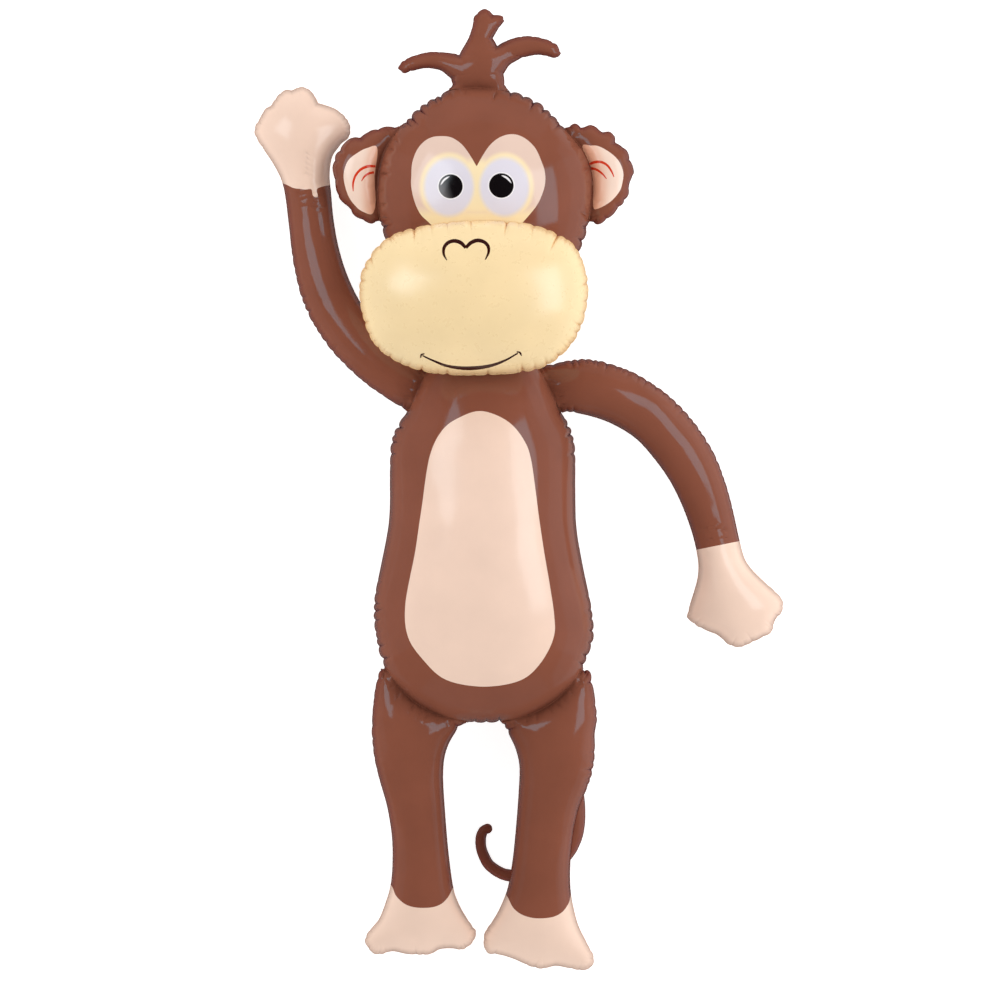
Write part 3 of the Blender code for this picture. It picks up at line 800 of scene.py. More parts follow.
def rippleAndWander(flat, nearest, fromStrip, sizes, rng):
    # ripples beside the weld, too fine to be single creases
    at = nearest * pattern["edgeStep"]
    phase = rng.uniform(0, math.tau, 3)
    ripple = sum(np.sin(math.tau * at / (length * mm) + turn)
                 for length, turn in zip(sheetSizes["rippleLengths"], phase)) / 3
    ripple *= sizes["ripple"] * mm * np.exp(-fromStrip / sheetSizes["rippleFade"])
    # slow unevenness of the sheet, which makes reflections wander
    wander = np.zeros(len(flat))
    for _ in range(sheetSizes["wanderWaves"]):
        way = rng.uniform(0, math.tau)
        length = rng.uniform(*sheetSizes["wanderLengths"]) * mm
        wander += np.sin(math.tau / length * (flat @ [math.cos(way), math.sin(way)])
                         + rng.uniform(0, math.tau))
    wander *= sizes["wander"] * mm / 3 * np.clip(fromStrip / sheetSizes["wanderFade"], 0, 1)
    return ripple - wander


def printedInks(middles, edge, sizes, prints):
    # inks of the upper sheet, the lower sheet and the edge
    plain = inkOrder.index(sizes["ink"])
    top, bottom, around = (np.full(len(points), plain) for points in (middles, middles, edge))
    for shape in prints:
        ink, covered = inkOrder.index(shape["ink"]), insideLoop(middles, shape["loop"])
        top[covered] = ink
        if shape.get("bothSides"):
            bottom[covered] = ink
            around[insideLoop(edge, shape["loop"])] = ink
    return top, bottom, around


def pointValues(mesh, name, values):
    # the same values on both sheets
    mesh.attributes.new(name, "FLOAT", "POINT").data.foreach_set(
        "value", np.tile(values, 2).astype(np.float32))


weldPaths = []


def chamber(name, sizes, prints=(), lowest=None, highest=None, beside=(), marked=(),
            extra=nowhere, seat=None):
    rng = np.random.default_rng(sizes["seed"])
    wrapped = [shape for shape in prints if shape.get("bothSides")]
    rim, notches, shared, meetAt = chamberEdge(name, beside)
    creases = chamberCreases(rim, notches, shared, sizes, wrapped, marked, rng)
    flat, triangles = flatPattern(rim, prints, creases, extra)
    rise, seam = inflated(flat, triangles, rim, meetAt, sizes["fullness"])
    count, size = len(rim), len(flat)
    fromEdge, nearest = nearestOn(flat, rim)
    fromEdge[:count] = 0
    fromStrip = np.maximum(fromEdge - pattern["strip"], 0)
    weave = weldWeave(shared, sizes["weave"] * mm, rng)
    seam = seam + weave[nearest] * np.exp(-fromEdge / sheetSizes["weaveFade"])
    uneven = rippleAndWander(flat, nearest, fromStrip, sizes, rng)

    # a shared weld has no puckers or ripples of its own
    free = 1 - shared[nearest] * np.exp(-(fromStrip / sheetSizes["sharedFade"]) ** 2)
    depth = creaseDepth(flat, creases) * free
    edgeDepth = creaseDepth(flat[:2 * count], creases, onEdge=True)
    edgeDepth[np.r_[shared, shared]] = 0
    pushed = np.tile(inwardNormals(rim, 4), (2, 1)) * edgeDepth[:, None]
    sheets = []
    for side in (1, -1):
        z = seam + side * rise
        base = np.column_stack([flat, z])
        normals = pointNormals(base, triangles if side > 0 else triangles[:, ::-1])
        sheet = base - normals * (depth + uneven * free)[:, None]
        sheet[:2 * count, :2] = flat[:2 * count] + pushed
        sheet[:2 * count, 2] = z[:2 * count]
        if side > 0 and highest is not None:
            sheet[:, 2] = -softFloor(-sheet[:, 2], -highest(flat), sheetSizes["roofBlend"])
        if side < 0:
            sheet = sheet if seat is None else seat(sheet)
            ground = 0 if lowest is None else lowest(sheet)
            sheet[:, 2] = softFloor(sheet[:, 2], ground + sheetSizes["groundGap"],
                                    sheetSizes["groundBlend"])
        sheets.append(sheet)

    upper, lower = sheets
    # neither sheet passes through the other beside the weld
    lower[:, 2] = np.minimum(lower[:, 2], upper[:, 2] - sheetSizes["film"])
    around = np.arange(count)
    ahead = np.roll(around, -1)
    wall = np.vstack([np.column_stack([around + size, ahead + size, ahead]),
                      np.column_stack([around + size, ahead, around])])
    faces = np.vstack([triangles, triangles[:, ::-1] + size, wall])
    mesh = bpy.data.meshes.new(name + "_film")
    mesh.from_pydata(np.vstack(sheets).tolist(), [], faces.tolist())

    top, bottom, edgeInk = printedInks(flat[triangles].mean(axis=1), rim[:, :2], sizes, prints)
    chosen = np.concatenate([top, bottom, edgeInk, edgeInk])
    used = sorted(set(chosen.tolist()))
    for index in used:
        mesh.materials.append(inks[inkOrder[index]])
    mesh.polygons.foreach_set("material_index", np.searchsorted(used, chosen).astype(np.int32))
    unshadedReach = sheetSizes["unshadedReach"]
    # painted shade: darker towards the weld, none along a shared weld, darker still in folds
    pointValues(mesh, "fromWeld",
                fromStrip + unshadedReach * easedInside(shared, unshadedReach)[nearest])
    sharp = creaseDepth(flat, [crease for crease in creases if crease[5] > 0])
    pointValues(mesh, "folded",
                np.clip(sharp / sheetSizes["foldFull"] - sheetSizes["foldFaint"], 0, 1))
    if "head" in beside:
        pointValues(mesh, "fromHead", nearestOn(flat, weldEdge("head"))[0])
    mesh.shade_smooth()
    mesh.set_sharp_from_angle(angle=math.radians(sheetSizes["sharpAngle"]))
    piece = added(name + "_film", mesh)
    path = (upper[:count] + upper[count:2 * count] + lower[:count] + lower[count:2 * count]) / 4
    weldPaths.append((path, np.where(shared, -1, edgeInk)))
    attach(piece, "root")
    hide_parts(name)
    print(name, "made with", len(faces), "triangles")


def printed(ink, points):
    loop = throughPoints(drawn(points), pattern["printStep"], closed=True)
    return {"ink": ink, "loop": loop[:-1]}


def stroke(ink, points, widths):
    # a line that gets thinner towards its ends
    line = throughPoints(drawn(points), 0.9 * mm)
    across = leftOf(np.gradient(line, axis=0))
    at, knots = np.linspace(0, 1, len(line)), np.linspace(0, 1, len(widths))
    half = across * np.interp(at, knots, np.array(widths) * mm)[:, None] / 2
    return {"ink": ink, "loop": np.vstack([line + half, (line - half)[::-1]])}


def limbPrint(ink, line, beyond):
    # everything past a line across the limb
    loop = np.vstack([throughPoints(drawn(line), pattern["printStep"]), drawn(beyond)])
    return {"ink": ink, "loop": loop, "bothSides": True}


torsoTree, tailTree = (surfaceTree(frame["nodes"][node].data) for node in ("torso", "tail"))

# The root of the tail presses into the underside of the torso
patchMargin = 13 * mm
tailEdge = weldEdge("tail")
tailRoot = drawn((40, 48))
tailPatch = heightAt(torsoTree, *tailRoot, fromBelow=True)
tailRoof = heightAt(tailTree, *tailRoot)


def overTail(points):
    flat = points[:, :2]
    far = nearestOn(flat, tailEdge)[0]
    far[insideLoop(flat, tailEdge)] = 0
    return np.maximum(0, tailPatch - np.maximum(far - patchMargin, 0))


def underTorso(points):
    # nothing lies on the tail past the crotch
    return np.where(points[:, 1] > torsoLow.y, tailRoof, 1.0)


coarse = {"pitch": 12, "depth": 3.6, "width": 1.5, "reach": 13, "calm": 0.05,
          "fullAt": 0.13, "notch": 0.75}
fine = {"pitch": 6.5, "depth": 0.9, "width": 1.0, "reach": 9, "calm": 0.5,
        "fullAt": 0.1, "notch": 0.4}

# folds that run down a limb from the weld it shares with the body
weldFolds = {"pitch": 15, "depth": 3.2, "width": 2.2, "reach": 21, "calm": 1.0, "fullAt": 0.1,
             "notch": 0.0, "where": "shared", "tilt": 0.22}


def valvePlace():
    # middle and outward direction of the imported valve, from its widest flat side
    data = frame["nodes"]["inflation_valve"].data
    areas = {}
    for face in data.polygons:
        key = tuple(round(c, 3) for c in face.normal)
        areas.setdefault(key, []).append(face)
    widest = max(areas.values(), key=lambda faces: sum(f.area for f in faces))
    total = sum(f.area for f in widest)
    middle = sum((f.center * f.area for f in widest), Vector()) / total
    return np.array(middle), -np.array(widest[0].normal)


valveMiddle, valveOut = valvePlace()

# The valve is welded into a shallow seat in the back, below the nape
valveSeat = {"radius": 11.3 * mm, "slope": 3.0 * mm, "near": 8 * mm, "gap": 0.06 * mm,
             "rings": [4, 8, 11.3, 12.2, 13.2, 14.4, 16], "spacing": 1.9}


def valveRings():
    points = []
    for radius in valveSeat["rings"]:
        count = round(math.tau * radius / valveSeat["spacing"])
        turn = np.arange(count) / count * math.tau
        ring = np.column_stack([np.cos(turn), np.sin(turn)])
        points.append(valveMiddle[:2] + radius * mm * ring)
    return np.vstack(points)


def seatValve(sheet):
    offset = sheet - valveMiddle
    height = offset @ valveOut
    radius = np.linalg.norm(offset - height[:, None] * valveOut, axis=1)
    t = eased((radius - valveSeat["radius"]) / valveSeat["slope"])
    t = np.where(np.abs(height) < valveSeat["near"], t, 1)
    target = t * height - (1 - t) * valveSeat["gap"]
    return sheet + (target - height)[:, None] * valveOut


torsoSizes = {
    "ink": "brown", "seed": 11, "fullness": 0.89,
    "creases": [dict(coarse, pitch=13, depth=4.2, calm=0.0, where="free"),
                dict(fine, calm=0.3, where="free")],
    "notchReach": 18, "weave": 0.7, "ripple": 0.22, "wander": 0.3,
}
belly = [(-2, 374), (-28, 367), (-50, 351), (-65, 319), (-74, 263), (-83, 203), (-94, 143),
         (-91, 104), (-71, 74), (-44, 52), (-2, 44), (42, 51), (66, 70), (83, 102), (84, 131),
         (75, 188), (65, 253), (57, 313), (48, 339), (28, 362)]
chamber("torso", torsoSizes, [printed("skin", belly)], lowest=overTail,
        beside=["arm_raised", "arm_lowered", "leg_left", "leg_right", "head"],
        extra=valveRings(), seat=seatValve)

headSizes = {
    "ink": "brown", "seed": 5, "fullness": 0.85,
    "creases": [dict(coarse, pitch=16, depth=4.6, reach=14, calm=0.3, fullAt=0.16),
                dict(fine, pitch=9, calm=0.4)],
    "notchReach": 16, "weave": 0.9, "ripple": 0.22, "wander": 0.3,
}
eyePatch = [(-60, 594), (-66, 600), (-76, 610), (-83, 625), (-87, 643), (-87, 657), (-86, 672),
            (-80.5, 687), (-72, 697), (-61.5, 702.5), (-48, 703.5), (-38, 701.5), (-27, 694),
            (-17.6, 682)]
eyePatchRight = [(-1, 681), (7, 692.5), (17, 701), (28.6, 705.5), (40.5, 705), (52, 699),
                 (62, 688.5), (69, 673), (73, 660), (73, 646), (69, 632), (63, 620), (53.5, 608),
                 (44, 597), (36, 585), (-52, 585)]
browDip = (-8.8, 667.2)
eyeLoop = np.vstack([
    throughPoints(drawn([(-52, 585), *eyePatch, browDip]), pattern["printStep"])[:-1],
    throughPoints(drawn([browDip, *eyePatchRight]), pattern["printStep"])[:-1]])
headFolds = [
    ((-60, 751), (-54, 738), 3.2, 1.5), ((-94, 722), (-83, 712), 3.4, 1.5),
    ((33, 758), (30, 744), 3.0, 1.4), ((62, 747), (56, 735), 2.6, 1.3),
    ((81, 733), (73, 724), 2.6, 1.3), ((92, 719), (81, 711), 3.2, 1.4),
    ((-124, 602), (-110, 604), 2.8, 1.4), ((126, 592), (112, 596), 3.0, 1.4),
    ((119, 577), (107, 583), 2.6, 1.3),
]
chamber("head", headSizes, [{"ink": "eyes", "loop": eyeLoop}], marked=headFolds,
        beside=["ear_left", "ear_right", "hair_tuft", "torso"])

earSizes = {
    "ink": "brown", "seed": 23, "fullness": 0.80,
    "creases": [dict(coarse, pitch=19, depth=3.0, width=2.2, reach=11, calm=0.3, fullAt=0.05),
                dict(fine, pitch=9, depth=0.5, reach=6),
                dict(weldFolds, pitch=17, depth=1.6, width=2.4, reach=14)],
    "notchReach": 12, "weave": 0.6, "ripple": 0.18, "wander": 0.25,
}
leftLining = [(-128, 690), (-140, 690), (-152, 684), (-163, 675), (-168, 662), (-168, 650),
              (-163, 633), (-154, 620), (-144, 613), (-134, 611), (-130, 625), (-131, 655)]
leftStrokes = [
    stroke("red", [(-130, 668), (-139, 668), (-148, 664), (-154, 657), (-157, 648), (-157, 638)],
           [2.9, 3.4, 3.1, 2.8, 2.5, 1.0]),
    stroke("red", [(-132, 661), (-139, 659), (-144, 655), (-147, 650)], [2.9, 2.9, 2.3, 0.9])]
rightLining = [(118, 692), (128, 693), (138, 692), (152, 684), (162, 674), (167, 661), (166, 648),
               (162, 637), (151, 625), (136, 617), (131, 620), (131, 645), (128, 668)]
rightStrokes = [
    stroke("red", [(125, 670), (133, 673), (141, 673), (148, 669), (153, 662), (156, 655)],
           [2.9, 3.4, 3.1, 2.8, 2.3, 0.9]),
    stroke("red", [(128, 666), (135, 664), (142, 659), (147, 653)], [2.9, 2.9, 2.3, 0.9])]
chamber("ear_left", earSizes, [printed("ear", leftLining), *leftStrokes], beside=["head"])
chamber("ear_right", dict(earSizes, seed=24), [printed("ear", rightLining), *rightStrokes],
        beside=["head"])

tuftSizes = {
    "ink": "brown", "seed": 31, "fullness": 0.95,
    "creases": [dict(coarse, pitch=12, depth=1.6, width=1.2, reach=8, calm=0.2, fullAt=0.03),
                dict(fine, reach=7, calm=0.6), dict(weldFolds, depth=1.2, width=2.2, reach=12)],
    "notchReach": 14, "weave": 0.5, "ripple": 0.16, "wander": 0.25,
}
tuftFolds = [((-30, 803), (-10, 800), 1.2, 1.6), ((46, 798), (24, 806), 1.4, 1.8),
             ((24, 779), (-6, 777), 0.9, 1.5), ((-40, 775), (-8, 781), 0.9, 1.5),
             ((16, 814), (0, 806), 1.3, 1.6)]
chamber("hair_tuft", tuftSizes, beside=["head"], marked=tuftFolds)

armSizes = {
    "ink": "brown", "seed": 41, "fullness": 0.97,
    "creases": [dict(coarse, pitch=11, depth=2.8, width=1.5, reach=13, calm=0.0, fullAt=0.16),
                dict(fine, pitch=6, depth=0.8, reach=13, calm=0.6),
                dict(weldFolds, depth=1.6, width=3.0, reach=26)],
    "notchReach": 20, "weave": 0.6, "ripple": 0.2, "wander": 0.25,
}
raisedHand = limbPrint("skin", [(-248, 650), (-239, 647), (-229, 642.5), (-215, 640.5),
                                (-207.5, 640.7), (-205.2, 632.6), (-199.4, 632.2),
                                (-200.5, 641.3), (-187, 646), (-178, 650)],
                       [(-140, 700), (-160, 790), (-310, 790), (-310, 655)])
loweredHand = limbPrint("skin", [(316, 220), (306, 218), (281, 213), (256, 208), (246, 206)],
                        [(210, 190), (230, 70), (390, 70), (390, 190)])


wristWrinkles = {"count": 14, "along": (-4, 26), "across": [-9, 3, 10], "spread": (0.8, 1.2),
                 "half": (3, 6), "tilt": (-0.8, 0.8), "depth": (0.75, 1.3), "width": 0.9}


def wristFolds(wrist, towards, seed):
    # short shallow wrinkles across the limb, where the print changes
    sizes = wristWrinkles
    rng = np.random.default_rng(seed)
    up = np.subtract(towards, wrist) / np.linalg.norm(np.subtract(towards, wrist))
    side = quarterTurn(up)
    folds = []
    for _ in range(sizes["count"]):
        middle = wrist + up * rng.uniform(*sizes["along"])
        middle = middle + side * rng.choice(sizes["across"]) * rng.uniform(*sizes["spread"])
        half = side * rng.uniform(*sizes["half"]) + up * rng.uniform(*sizes["tilt"])
        folds.append((middle - half, middle + half, rng.uniform(*sizes["depth"]),
                      sizes["width"]))
    return folds


chamber("arm_raised", armSizes, [raisedHand], beside=["torso"],
        marked=wristFolds((-206, 641), (-201, 600), 3) + [
            ((-196, 648), (-180, 690), 0.9, 4.5), ((-228, 648), (-243, 690), 0.8, 4.5)] + [
            ((-213, 684 - 6 * row), (-203, 677 - 6 * row), 1.7, 1.5) for row in range(5)])
chamber("arm_lowered", dict(armSizes, seed=43), [loweredHand], beside=["torso"],
        marked=wristFolds((281, 213), (270, 250), 4) + [
            ((268, 205), (258, 168), 0.9, 4.5), ((294, 208), (300, 168), 0.8, 4.5)])

legSizes = {
    "ink": "brown", "seed": 51, "fullness": 0.93,
    "creases": [dict(coarse, pitch=12, depth=3.2, width=1.7, reach=16, calm=0.0, fullAt=0.09),
                dict(fine, calm=0.4), dict(weldFolds, pitch=13, reach=17)],
    "notchReach": 20, "weave": 0.6, "ripple": 0.2, "wander": 0.25,
}
leftFoot = limbPrint("skin", [(-122, -186), (-111, -196), (-106, -207), (-97, -216),
                              (-87, -220.5), (-74, -222), (-61, -221), (-51, -217),
                              (-43, -209), (-37, -198), (-28, -186)],
                     [(20, -180), (20, -320), (-180, -320), (-180, -180)])
rightFoot = limbPrint("skin", [(18, -196), (28, -209), (35, -222), (45, -230), (58, -234),
                               (71, -234.5), (84, -232.5), (94, -227), (101.5, -217),
                               (105, -206), (112, -194)],
                      [(170, -190), (170, -330), (-30, -330), (-30, -198)])
chamber("leg_left", legSizes, [leftFoot], beside=["torso"])
chamber("leg_right", dict(legSizes, seed=53), [rightFoot], beside=["torso"])

tailSizes = {
    "ink": "brown", "seed": 61, "fullness": 0.85,
    "creases": [dict(coarse, pitch=9, depth=0.8, width=1.2, reach=6, calm=0.2, fullAt=0.05,
                     notch=0.3),
                dict(fine, depth=0.3, reach=6)],
    "notchReach": 8, "weave": 0.3, "ripple": 0.12, "wander": 0.15,
}
chamber("tail", tailSizes, highest=underTorso)

# The muzzle rests on the face, the chest and the arms
muzzleSizes = {
    "ink": "cream", "seed": 71, "fullness": 0.84,
    "creases": [dict(coarse, pitch=16, depth=2.6, width=1.5, reach=12, calm=0.25, fullAt=0.10),
                dict(fine, pitch=7, depth=1.1, width=0.9, reach=14, calm=0.5)],
    "notchReach": 12, "weave": 0.7, "ripple": 0.25, "wander": 0.35, "gap": 0.4 * mm,
}
nose = [
    stroke("line", [(-44.4, 554.2), (-48, 561.4), (-47.7, 569.2), (-43, 575.1), (-35.4, 577.3),
                    (-27.8, 575.1), (-21.6, 569)], [1.2, 2.9, 3.9, 4.3, 4.7, 4.6, 3.7]),
    stroke("line", [(-21.6, 569), (-15.9, 574.7), (-8.1, 577.7), (-0.3, 576.1), (4.9, 570.9),
                    (5.6, 563.8), (3, 557.4), (1.4, 554.5)], [3.7, 4.6, 4.7, 4.3, 3.9, 2.8, 1.0]),
]
mouth = [
    stroke("line", [(-73.3, 440.3), (-61.5, 434.8), (-42.5, 427.7), (-18.8, 425.1), (4.9, 427.3),
                    (23.9, 433.7), (40.5, 443.1)], [1.6, 2.7, 3.8, 4.8, 4.1, 2.7, 1.7]),
    stroke("line", [(-75.7, 437.7), (-74.8, 441.2), (-71, 442.7)], [1.4, 2.4, 1.4]),
    stroke("line", [(39.1, 444.8), (42.9, 443.9), (45, 440.1)], [1.4, 2.4, 1.4]),
]
muzzleFolds = [
    ((-84, 596), (-83.4, 573), 5.5, 1.3), ((-44.4, 601), (-42, 579), 2.4, 1.2),
    ((-15.6, 603), (-15.6, 582), 2.6, 1.1), ((27.4, 601), (23.3, 580), 4.2, 1.2),
    ((90, 587), (76.8, 561), 5.5, 1.3), ((-138, 560), (-131.5, 543), 4.0, 1.3),
    ((124, 527), (112, 521), 3.0, 1.2), ((-75.6, 419), (-73, 430), 5.0, 1.5),
    ((-44.4, 415), (-43.5, 427), 4.2, 1.4), ((4.8, 414), (5, 426), 4.2, 1.4),
    ((46.8, 419), (44.5, 432), 4.8, 1.5), ((-64, 599), (-62, 580), 2.4, 1.2),
    ((60, 596), (55, 577), 2.6, 1.1), ((-112, 585), (-100, 570), 2.6, 1.2),
]
carriers = [surfaceTree(bpy.data.objects[name + "_film"].data)
            for name in ("torso", "head", "arm_raised", "arm_lowered")]


def onCarriers(points):
    # height of whatever lies under each point; nothing under it counts as far below
    found = np.full(len(points), -1.0)
    for tree in carriers:
        for i, (x, y, _) in enumerate(points.tolist()):
            height = heightAt(tree, x, y)
            if height is not None:
                found[i] = max(found[i], height + muzzleSizes["gap"])
    return found


chamber("muzzle", muzzleSizes, [*nose, *mouth], lowest=onCarriers, marked=muzzleFolds)


# ---- valve: a push-in plug on a welded flange, with a strap and a tab to pull it by

valveSizes = {
    # radius and height of its turned outline
    "outline": [(0, 0), (10.6, 0), (11, 0.25), (11, 0.7), (10.7, 1.0), (9.2, 1.05), (8.9, 1.25),
                (8.3, 1.25), (8, 1.05), (6.4, 1.3), (5.6, 1.9), (5.5, 2.6), (5.5, 7.4),
                (6.8, 7.6), (7, 7.8), (7, 9.5), (6.6, 9.9), (6.2, 10), (4.5, 10), (4.2, 9.6),
                (0, 9.5)],
    "strap": [(6.5, 8.8), (8.2, 8.8), (9.6, 8.2), (10.4, 6.8), (10.5, 4.6), (10.2, 2.6),
              (9.7, 1.0)],
    "strapSize": (3.4, 0.9),
    "tab": [(6.5, 8.7), (8.2, 8.8), (10.0, 9.0), (11.8, 9.1)],
    "tabSize": (5.2, 1.1),
    "segments": 96, "sharpAngle": 35,
    # half a strap's cross-section, in half widths and thicknesses, and its least half width
    "side": [(-1, -0.35), (-0.85, -0.5), (0.85, -0.5), (1, -0.35)], "narrowest": 0.2,
}


def valveMaterial():
    # Injection-moulded soft vinyl: milky, lightly orange-peeled, with a dull gloss.
    material, tree, shader = newMaterial("moulded_soft_vinyl")
    place = addNode(tree, "ShaderNodeTexCoord").outputs["Object"]
    setInputs(tree, shader, {
        "Base Color": mixed(tree, noise(tree, place, 4 * mm), toLinear("#DEDCD2"),
                            toLinear("#EFEDE6")),
        "Normal": bump(tree, noise(tree, place, 0.5 * mm), 0.02 * mm), "Roughness": 0.36,
        "Subsurface Weight": 0.25, "Subsurface Scale": 1.5 * mm})
    return material


def joinRings(rings, segments, bm):
    for a, b in zip(rings, rings[1:]):
        for i in range(segments):
            j = (i + 1) % segments
            corners = [a[i % len(a)], a[j % len(a)], b[j % len(b)], b[i % len(b)]]
            bm.faces.new(list(dict.fromkeys(corners)))


def swept(points, size, bm):
    # a flat strip along a line in the plane of radius and height, with a rounded far end
    section = valveSizes["side"] + [(-side, -up) for side, up in valveSizes["side"]]
    line = throughPoints(points, 0.4)
    across = leftOf(np.gradient(line, axis=0))
    left = lengthsAlong(line)
    left = left[-1] - left
    half = size[0] / 2
    rings = []
    for (r, h), (nr, nh), rest in zip(line, across, left):
        wide = math.sqrt(max(half ** 2 - max(half - rest, 0) ** 2, valveSizes["narrowest"] ** 2))
        rings.append([bm.verts.new(((r + nr * up * size[1]) * mm, side * wide * mm,
                                    (h + nh * up * size[1]) * mm)) for side, up in section])
    joinRings(rings, len(section), bm)
    bm.faces.new(rings[0][::-1])
    bm.faces.new(rings[-1])


def turned(outline, segments, bm):
    rings = []
    for radius, height in outline:
        if radius == 0:
            rings.append([bm.verts.new((0, 0, height * mm))])
            continue
        rings.append([bm.verts.new((radius * mm * math.cos(turn), radius * mm * math.sin(turn),
                                    height * mm))
                      for turn in np.arange(segments) / segments * math.tau])
    joinRings(rings, segments, bm)


valveTurn = Vector(valveOut).to_track_quat("Z", "X").to_matrix().to_4x4()
valveTurn.translation = Vector(valveMiddle)
softVinyl = valveMaterial()


def makeValve(sizes):
    bm = bmesh.new()
    turned(sizes["outline"], sizes["segments"], bm)
    swept(sizes["strap"], sizes["strapSize"], bm)
    turnedRound = len(bm.verts)
    swept(sizes["tab"], sizes["tabSize"], bm)
    bm.verts.ensure_lookup_table()
    for vertex in bm.verts[turnedRound:]:
        vertex.co.x, vertex.co.y = -vertex.co.x, -vertex.co.y
    bmesh.ops.recalc_face_normals(bm, faces=bm.faces)
    bm.transform(valveTurn)
    mesh = bpy.data.meshes.new("inflation_valve_vinyl")
    bm.to_mesh(mesh)
    bm.free()
    mesh.materials.append(softVinyl)
    mesh.shade_smooth()
    mesh.set_sharp_from_angle(angle=math.radians(sizes["sharpAngle"]))
    valve = added("inflation_valve_vinyl", mesh)
    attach(valve, "root")
    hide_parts("inflation_valve")


# ---- ribs: pressed into the weld strip by the tool, and moulded round the valve's plug

ribUneven = (0.96, 1.04)        # times its height


def ribTree(name, followsEdges):
    # a small rounded rib on points along the edges given, or round a circle
    tree = bpy.data.node_groups.new(name, "GeometryNodeTree")
    kinds = {"Geometry": "Geometry", "Seed": "Int", "Material": "Material"}
    sockets = {}
    for label in ("Geometry", "Pitch", "Radius", "Rib Length", "Rib Width", "Rib Height", "Seed",
                  "Material"):
        sockets[label] = tree.interface.new_socket(
            label, in_out="INPUT", socket_type="NodeSocket" + kinds.get(label, "Float")).identifier
    tree.interface.new_socket("Geometry", in_out="OUTPUT", socket_type="NodeSocketGeometry")
    given = addNode(tree, "NodeGroupInput").outputs
    if followsEdges:
        curve = addNode(tree, "GeometryNodeMeshToCurve", {"Mesh": given["Geometry"]})
    else:
        curve = addNode(tree, "GeometryNodeCurvePrimitiveCircle", {
            "Resolution": valveSizes["segments"], "Radius": given["Radius"]})
    places = addNode(tree, "GeometryNodeCurveToPoints", {
        "Curve": curve.outputs["Curve"], "Length": given["Pitch"]}, mode="LENGTH")
    turn = addNode(tree, "FunctionNodeAlignRotationToVector", {
        "Vector": places.outputs["Tangent"]}, axis="X", pivot_axis="Z")
    rib = addNode(tree, "GeometryNodeMeshCylinder", {"Vertices": 8, "Radius": 0.5, "Depth": 1.0})
    lift = addNode(tree, "FunctionNodeRandomValue", {
        2: ribUneven[0], 3: ribUneven[1], "Seed": given["Seed"]}, data_type="FLOAT")
    height = calculated(tree, "MULTIPLY", given["Rib Height"], lift.outputs[1])
    size = addNode(tree, "ShaderNodeCombineXYZ", {
        0: given["Rib Width"], 1: given["Rib Length"], 2: height})
    ribs = addNode(tree, "GeometryNodeInstanceOnPoints", {
        "Points": places.outputs["Points"], "Instance": rib.outputs["Mesh"],
        "Rotation": turn.outputs["Rotation"], "Scale": size.outputs[0]})
    plain = addNode(tree, "GeometryNodeRealizeInstances", {
        "Geometry": ribs.outputs["Instances"]})
    coloured = addNode(tree, "GeometryNodeSetMaterial", {
        "Geometry": plain.outputs["Geometry"], "Material": given["Material"]})
    addNode(tree, "NodeGroupOutput", {0: coloured.outputs["Geometry"]})
    return tree, sockets


def ribbed(name, tree, sockets, values, points=(), edges=()):
    # the tree's result as a plain mesh, with the modifier and its object gone
    base = bpy.data.meshes.new(name + "_base")
    base.from_pydata(points, edges, [])
    carrier = added(name + "_base", base)
    modifier = carrier.modifiers.new(name, "NODES")
    modifier.node_group = tree
    for label, value in values.items():
        modifier[sockets[label]] = value
    evaluated = carrier.evaluated_get(bpy.context.evaluated_depsgraph_get())
    mesh = bpy.data.meshes.new_from_object(evaluated)
    bpy.data.objects.remove(carrier)
    mesh.name = name
    return mesh


def addRibs(name, mesh):
    piece = added(name, mesh)
    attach(piece, "root")


weldRibs = {"Pitch": 2.0 * mm, "Rib Length": 0.55 * mm, "Rib Width": 0.4 * mm,
            "Rib Height": 1.16 * mm, "Seed": 7}
plugRibs = {"Radius": 6.95 * mm, "Pitch": 1.2 * mm, "Rib Length": 0.5 * mm,
            "Rib Width": 0.55 * mm, "Rib Height": 1.5 * mm, "Seed": 3}
plugRibsUp = 8.65 * mm


def makeWeldRibs(sizes):
    tree, sockets = ribTree("weld_ribs", True)
    for ink in ("brown", "skin", "cream"):
        points, edges = [], []
        for path, edgeInk in weldPaths:
            wanted = edgeInk == inkOrder.index(ink)
            count, first = len(path), len(points)
            points += path.tolist()
            edges += [(first + i, first + (i + 1) % count) for i in range(count)
                      if wanted[i] and wanted[(i + 1) % count]]
        values = dict(sizes, Material=inks[ink])
        mesh = ribbed("weld_ribs_" + ink, tree, sockets, values, points, edges)
        addRibs("weld_ribs_" + ink, mesh)
        print("weld ribs in", ink, "with", len(mesh.polygons), "faces")


def makePlugRibs(sizes):
    tree, sockets = ribTree("plug_ribs", False)
    mesh = ribbed("plug_ribs", tree, sockets, dict(sizes, Material=softVinyl))
    mesh.transform(Matrix.Translation((0, 0, plugRibsUp)))
    mesh.transform(valveTurn)
    addRibs("valve_plug_ribs", mesh)


makeValve(valveSizes)
makeWeldRibs(weldRibs)
makePlugRibs(plugRibs)
print("valve and ribs made")


# ---- floor, light and world

floorSizes = {"half": 4.0, "drop": 0.2 * mm, "colour": "#C4C4C4", "glow": 0.86}


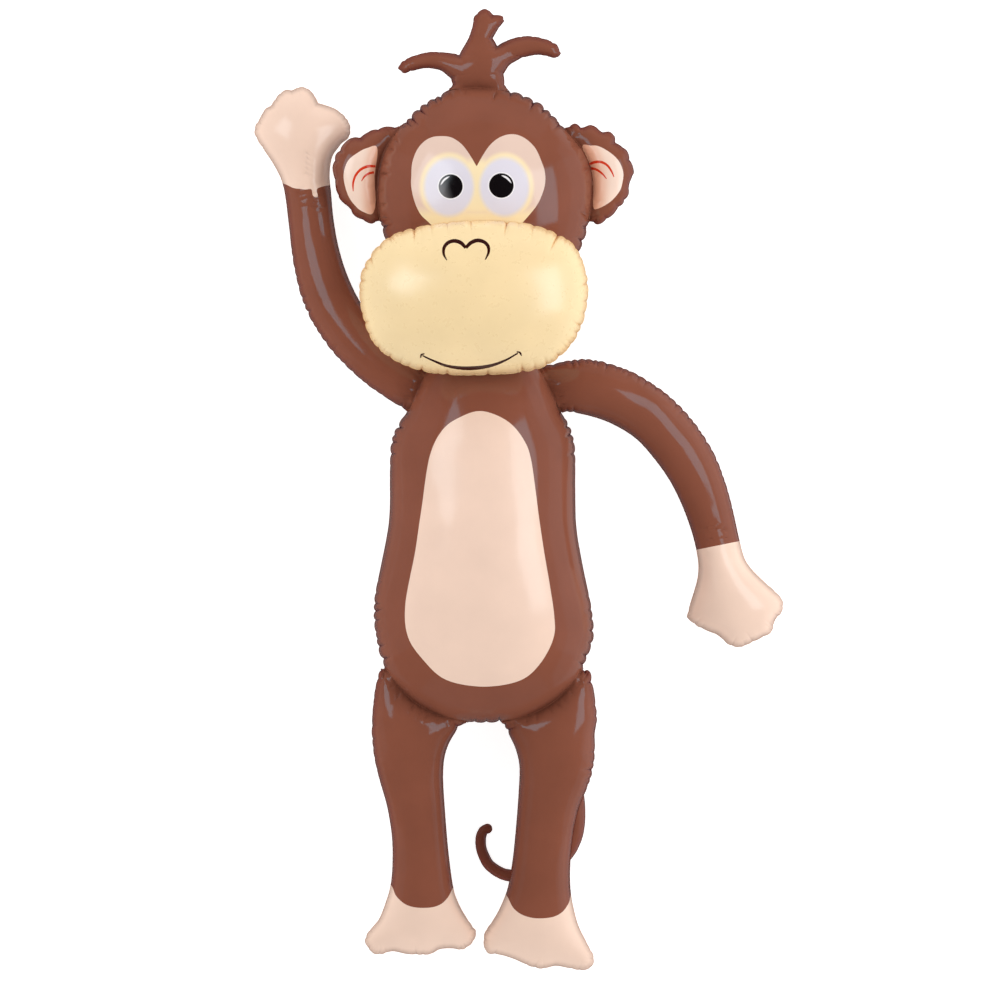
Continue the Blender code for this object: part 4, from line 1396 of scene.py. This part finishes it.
def makeFloor(sizes):
    # A white table lit a little from below, which keeps the shadows pale. Polarised light
    # keeps it out of the film, where it would make pale edges all round.
    paint, tree, shader = newMaterial("opal_acrylic_light_table")
    setInputs(tree, shader, {
        "Base Color": toLinear(sizes["colour"]), "Roughness": 0.9,
        "Emission Color": (1, 1, 1, 1), "Emission Strength": sizes["glow"]})
    corners = [(x * sizes["half"], y * sizes["half"], -sizes["drop"])
               for x, y in ((-1, -1), (1, -1), (1, 1), (-1, 1))]
    mesh = bpy.data.meshes.new("floor")
    mesh.from_pydata(corners, [], [range(4)])
    mesh.materials.append(paint)
    obj = added("floor", mesh)
    obj.visible_glossy = False


makeFloor(floorSizes)

# A large softbox on the right and a smaller one on the left give the streaks. Dim walls, which
# reach below the table, and dim panels under it give a faint sheen towards the edges. The tent
# is polarised, so it lights the toy evenly and makes no reflections. A size is across, then up.
lamps = [
    {"name": "right_softbox", "at": (1.85, 0.5, 1.88), "size": (2.0, 1.2), "power": 19},
    {"name": "left_softbox", "at": (-1.63, 1.0, 1.97), "size": (1.25, 1.24), "power": 12.4},
    {"name": "right_wall", "at": (2.7, 0.2, 0.2), "size": (3.4, 2.4), "power": 6},
    {"name": "right_apron", "at": (1.1, 0, -0.4), "size": (3.0, 1.7), "power": 4},
    {"name": "left_wall", "at": (-2.7, 0.2, 0.2), "size": (3.4, 2.4), "power": 3.8},
    {"name": "head_wall", "at": (0, 2.9, 0.2), "size": (4.4, 2.4), "power": 5},
    {"name": "foot_wall", "at": (0, -2.9, 0.2), "size": (4.4, 2.4), "power": 5},
    {"name": "under_panel", "at": (0, 0, -0.35), "size": (3.0, 3.0), "power": 4.2},
]
tent = {"overhead": 0.42, "side": 1.2}


def makeLamp(sizes):
    data = bpy.data.lights.new(sizes["name"], "AREA")
    data.shape = "RECTANGLE"
    data.size, data.size_y = sizes["size"]
    data.energy = sizes["power"]
    obj = added(sizes["name"], data)
    obj.location = sizes["at"]
    obj.rotation_euler = Vector(sizes["at"]).to_track_quat("Z", "Y").to_euler()


for lamp in lamps:
    makeLamp(lamp)


def makeTent(sizes):
    world = bpy.data.worlds.new("light_tent")
    world.use_nodes = True
    tree = world.node_tree
    direction = addNode(tree, "ShaderNodeTexCoord").outputs["Generated"]
    up = addNode(tree, "ShaderNodeSeparateXYZ", {0: direction}).outputs["Z"]
    level = ramp(tree, up, 0.0, 1.0, sizes["side"], sizes["overhead"], "LINEAR")
    setInputs(tree, tree.nodes["Background"], {"Color": (1, 1, 1, 1), "Strength": level})
    world.cycles_visibility.glossy = False
    scene.world = world


makeTent(tent)
scene.view_settings.view_transform = "Standard"
print("floor and lights set")
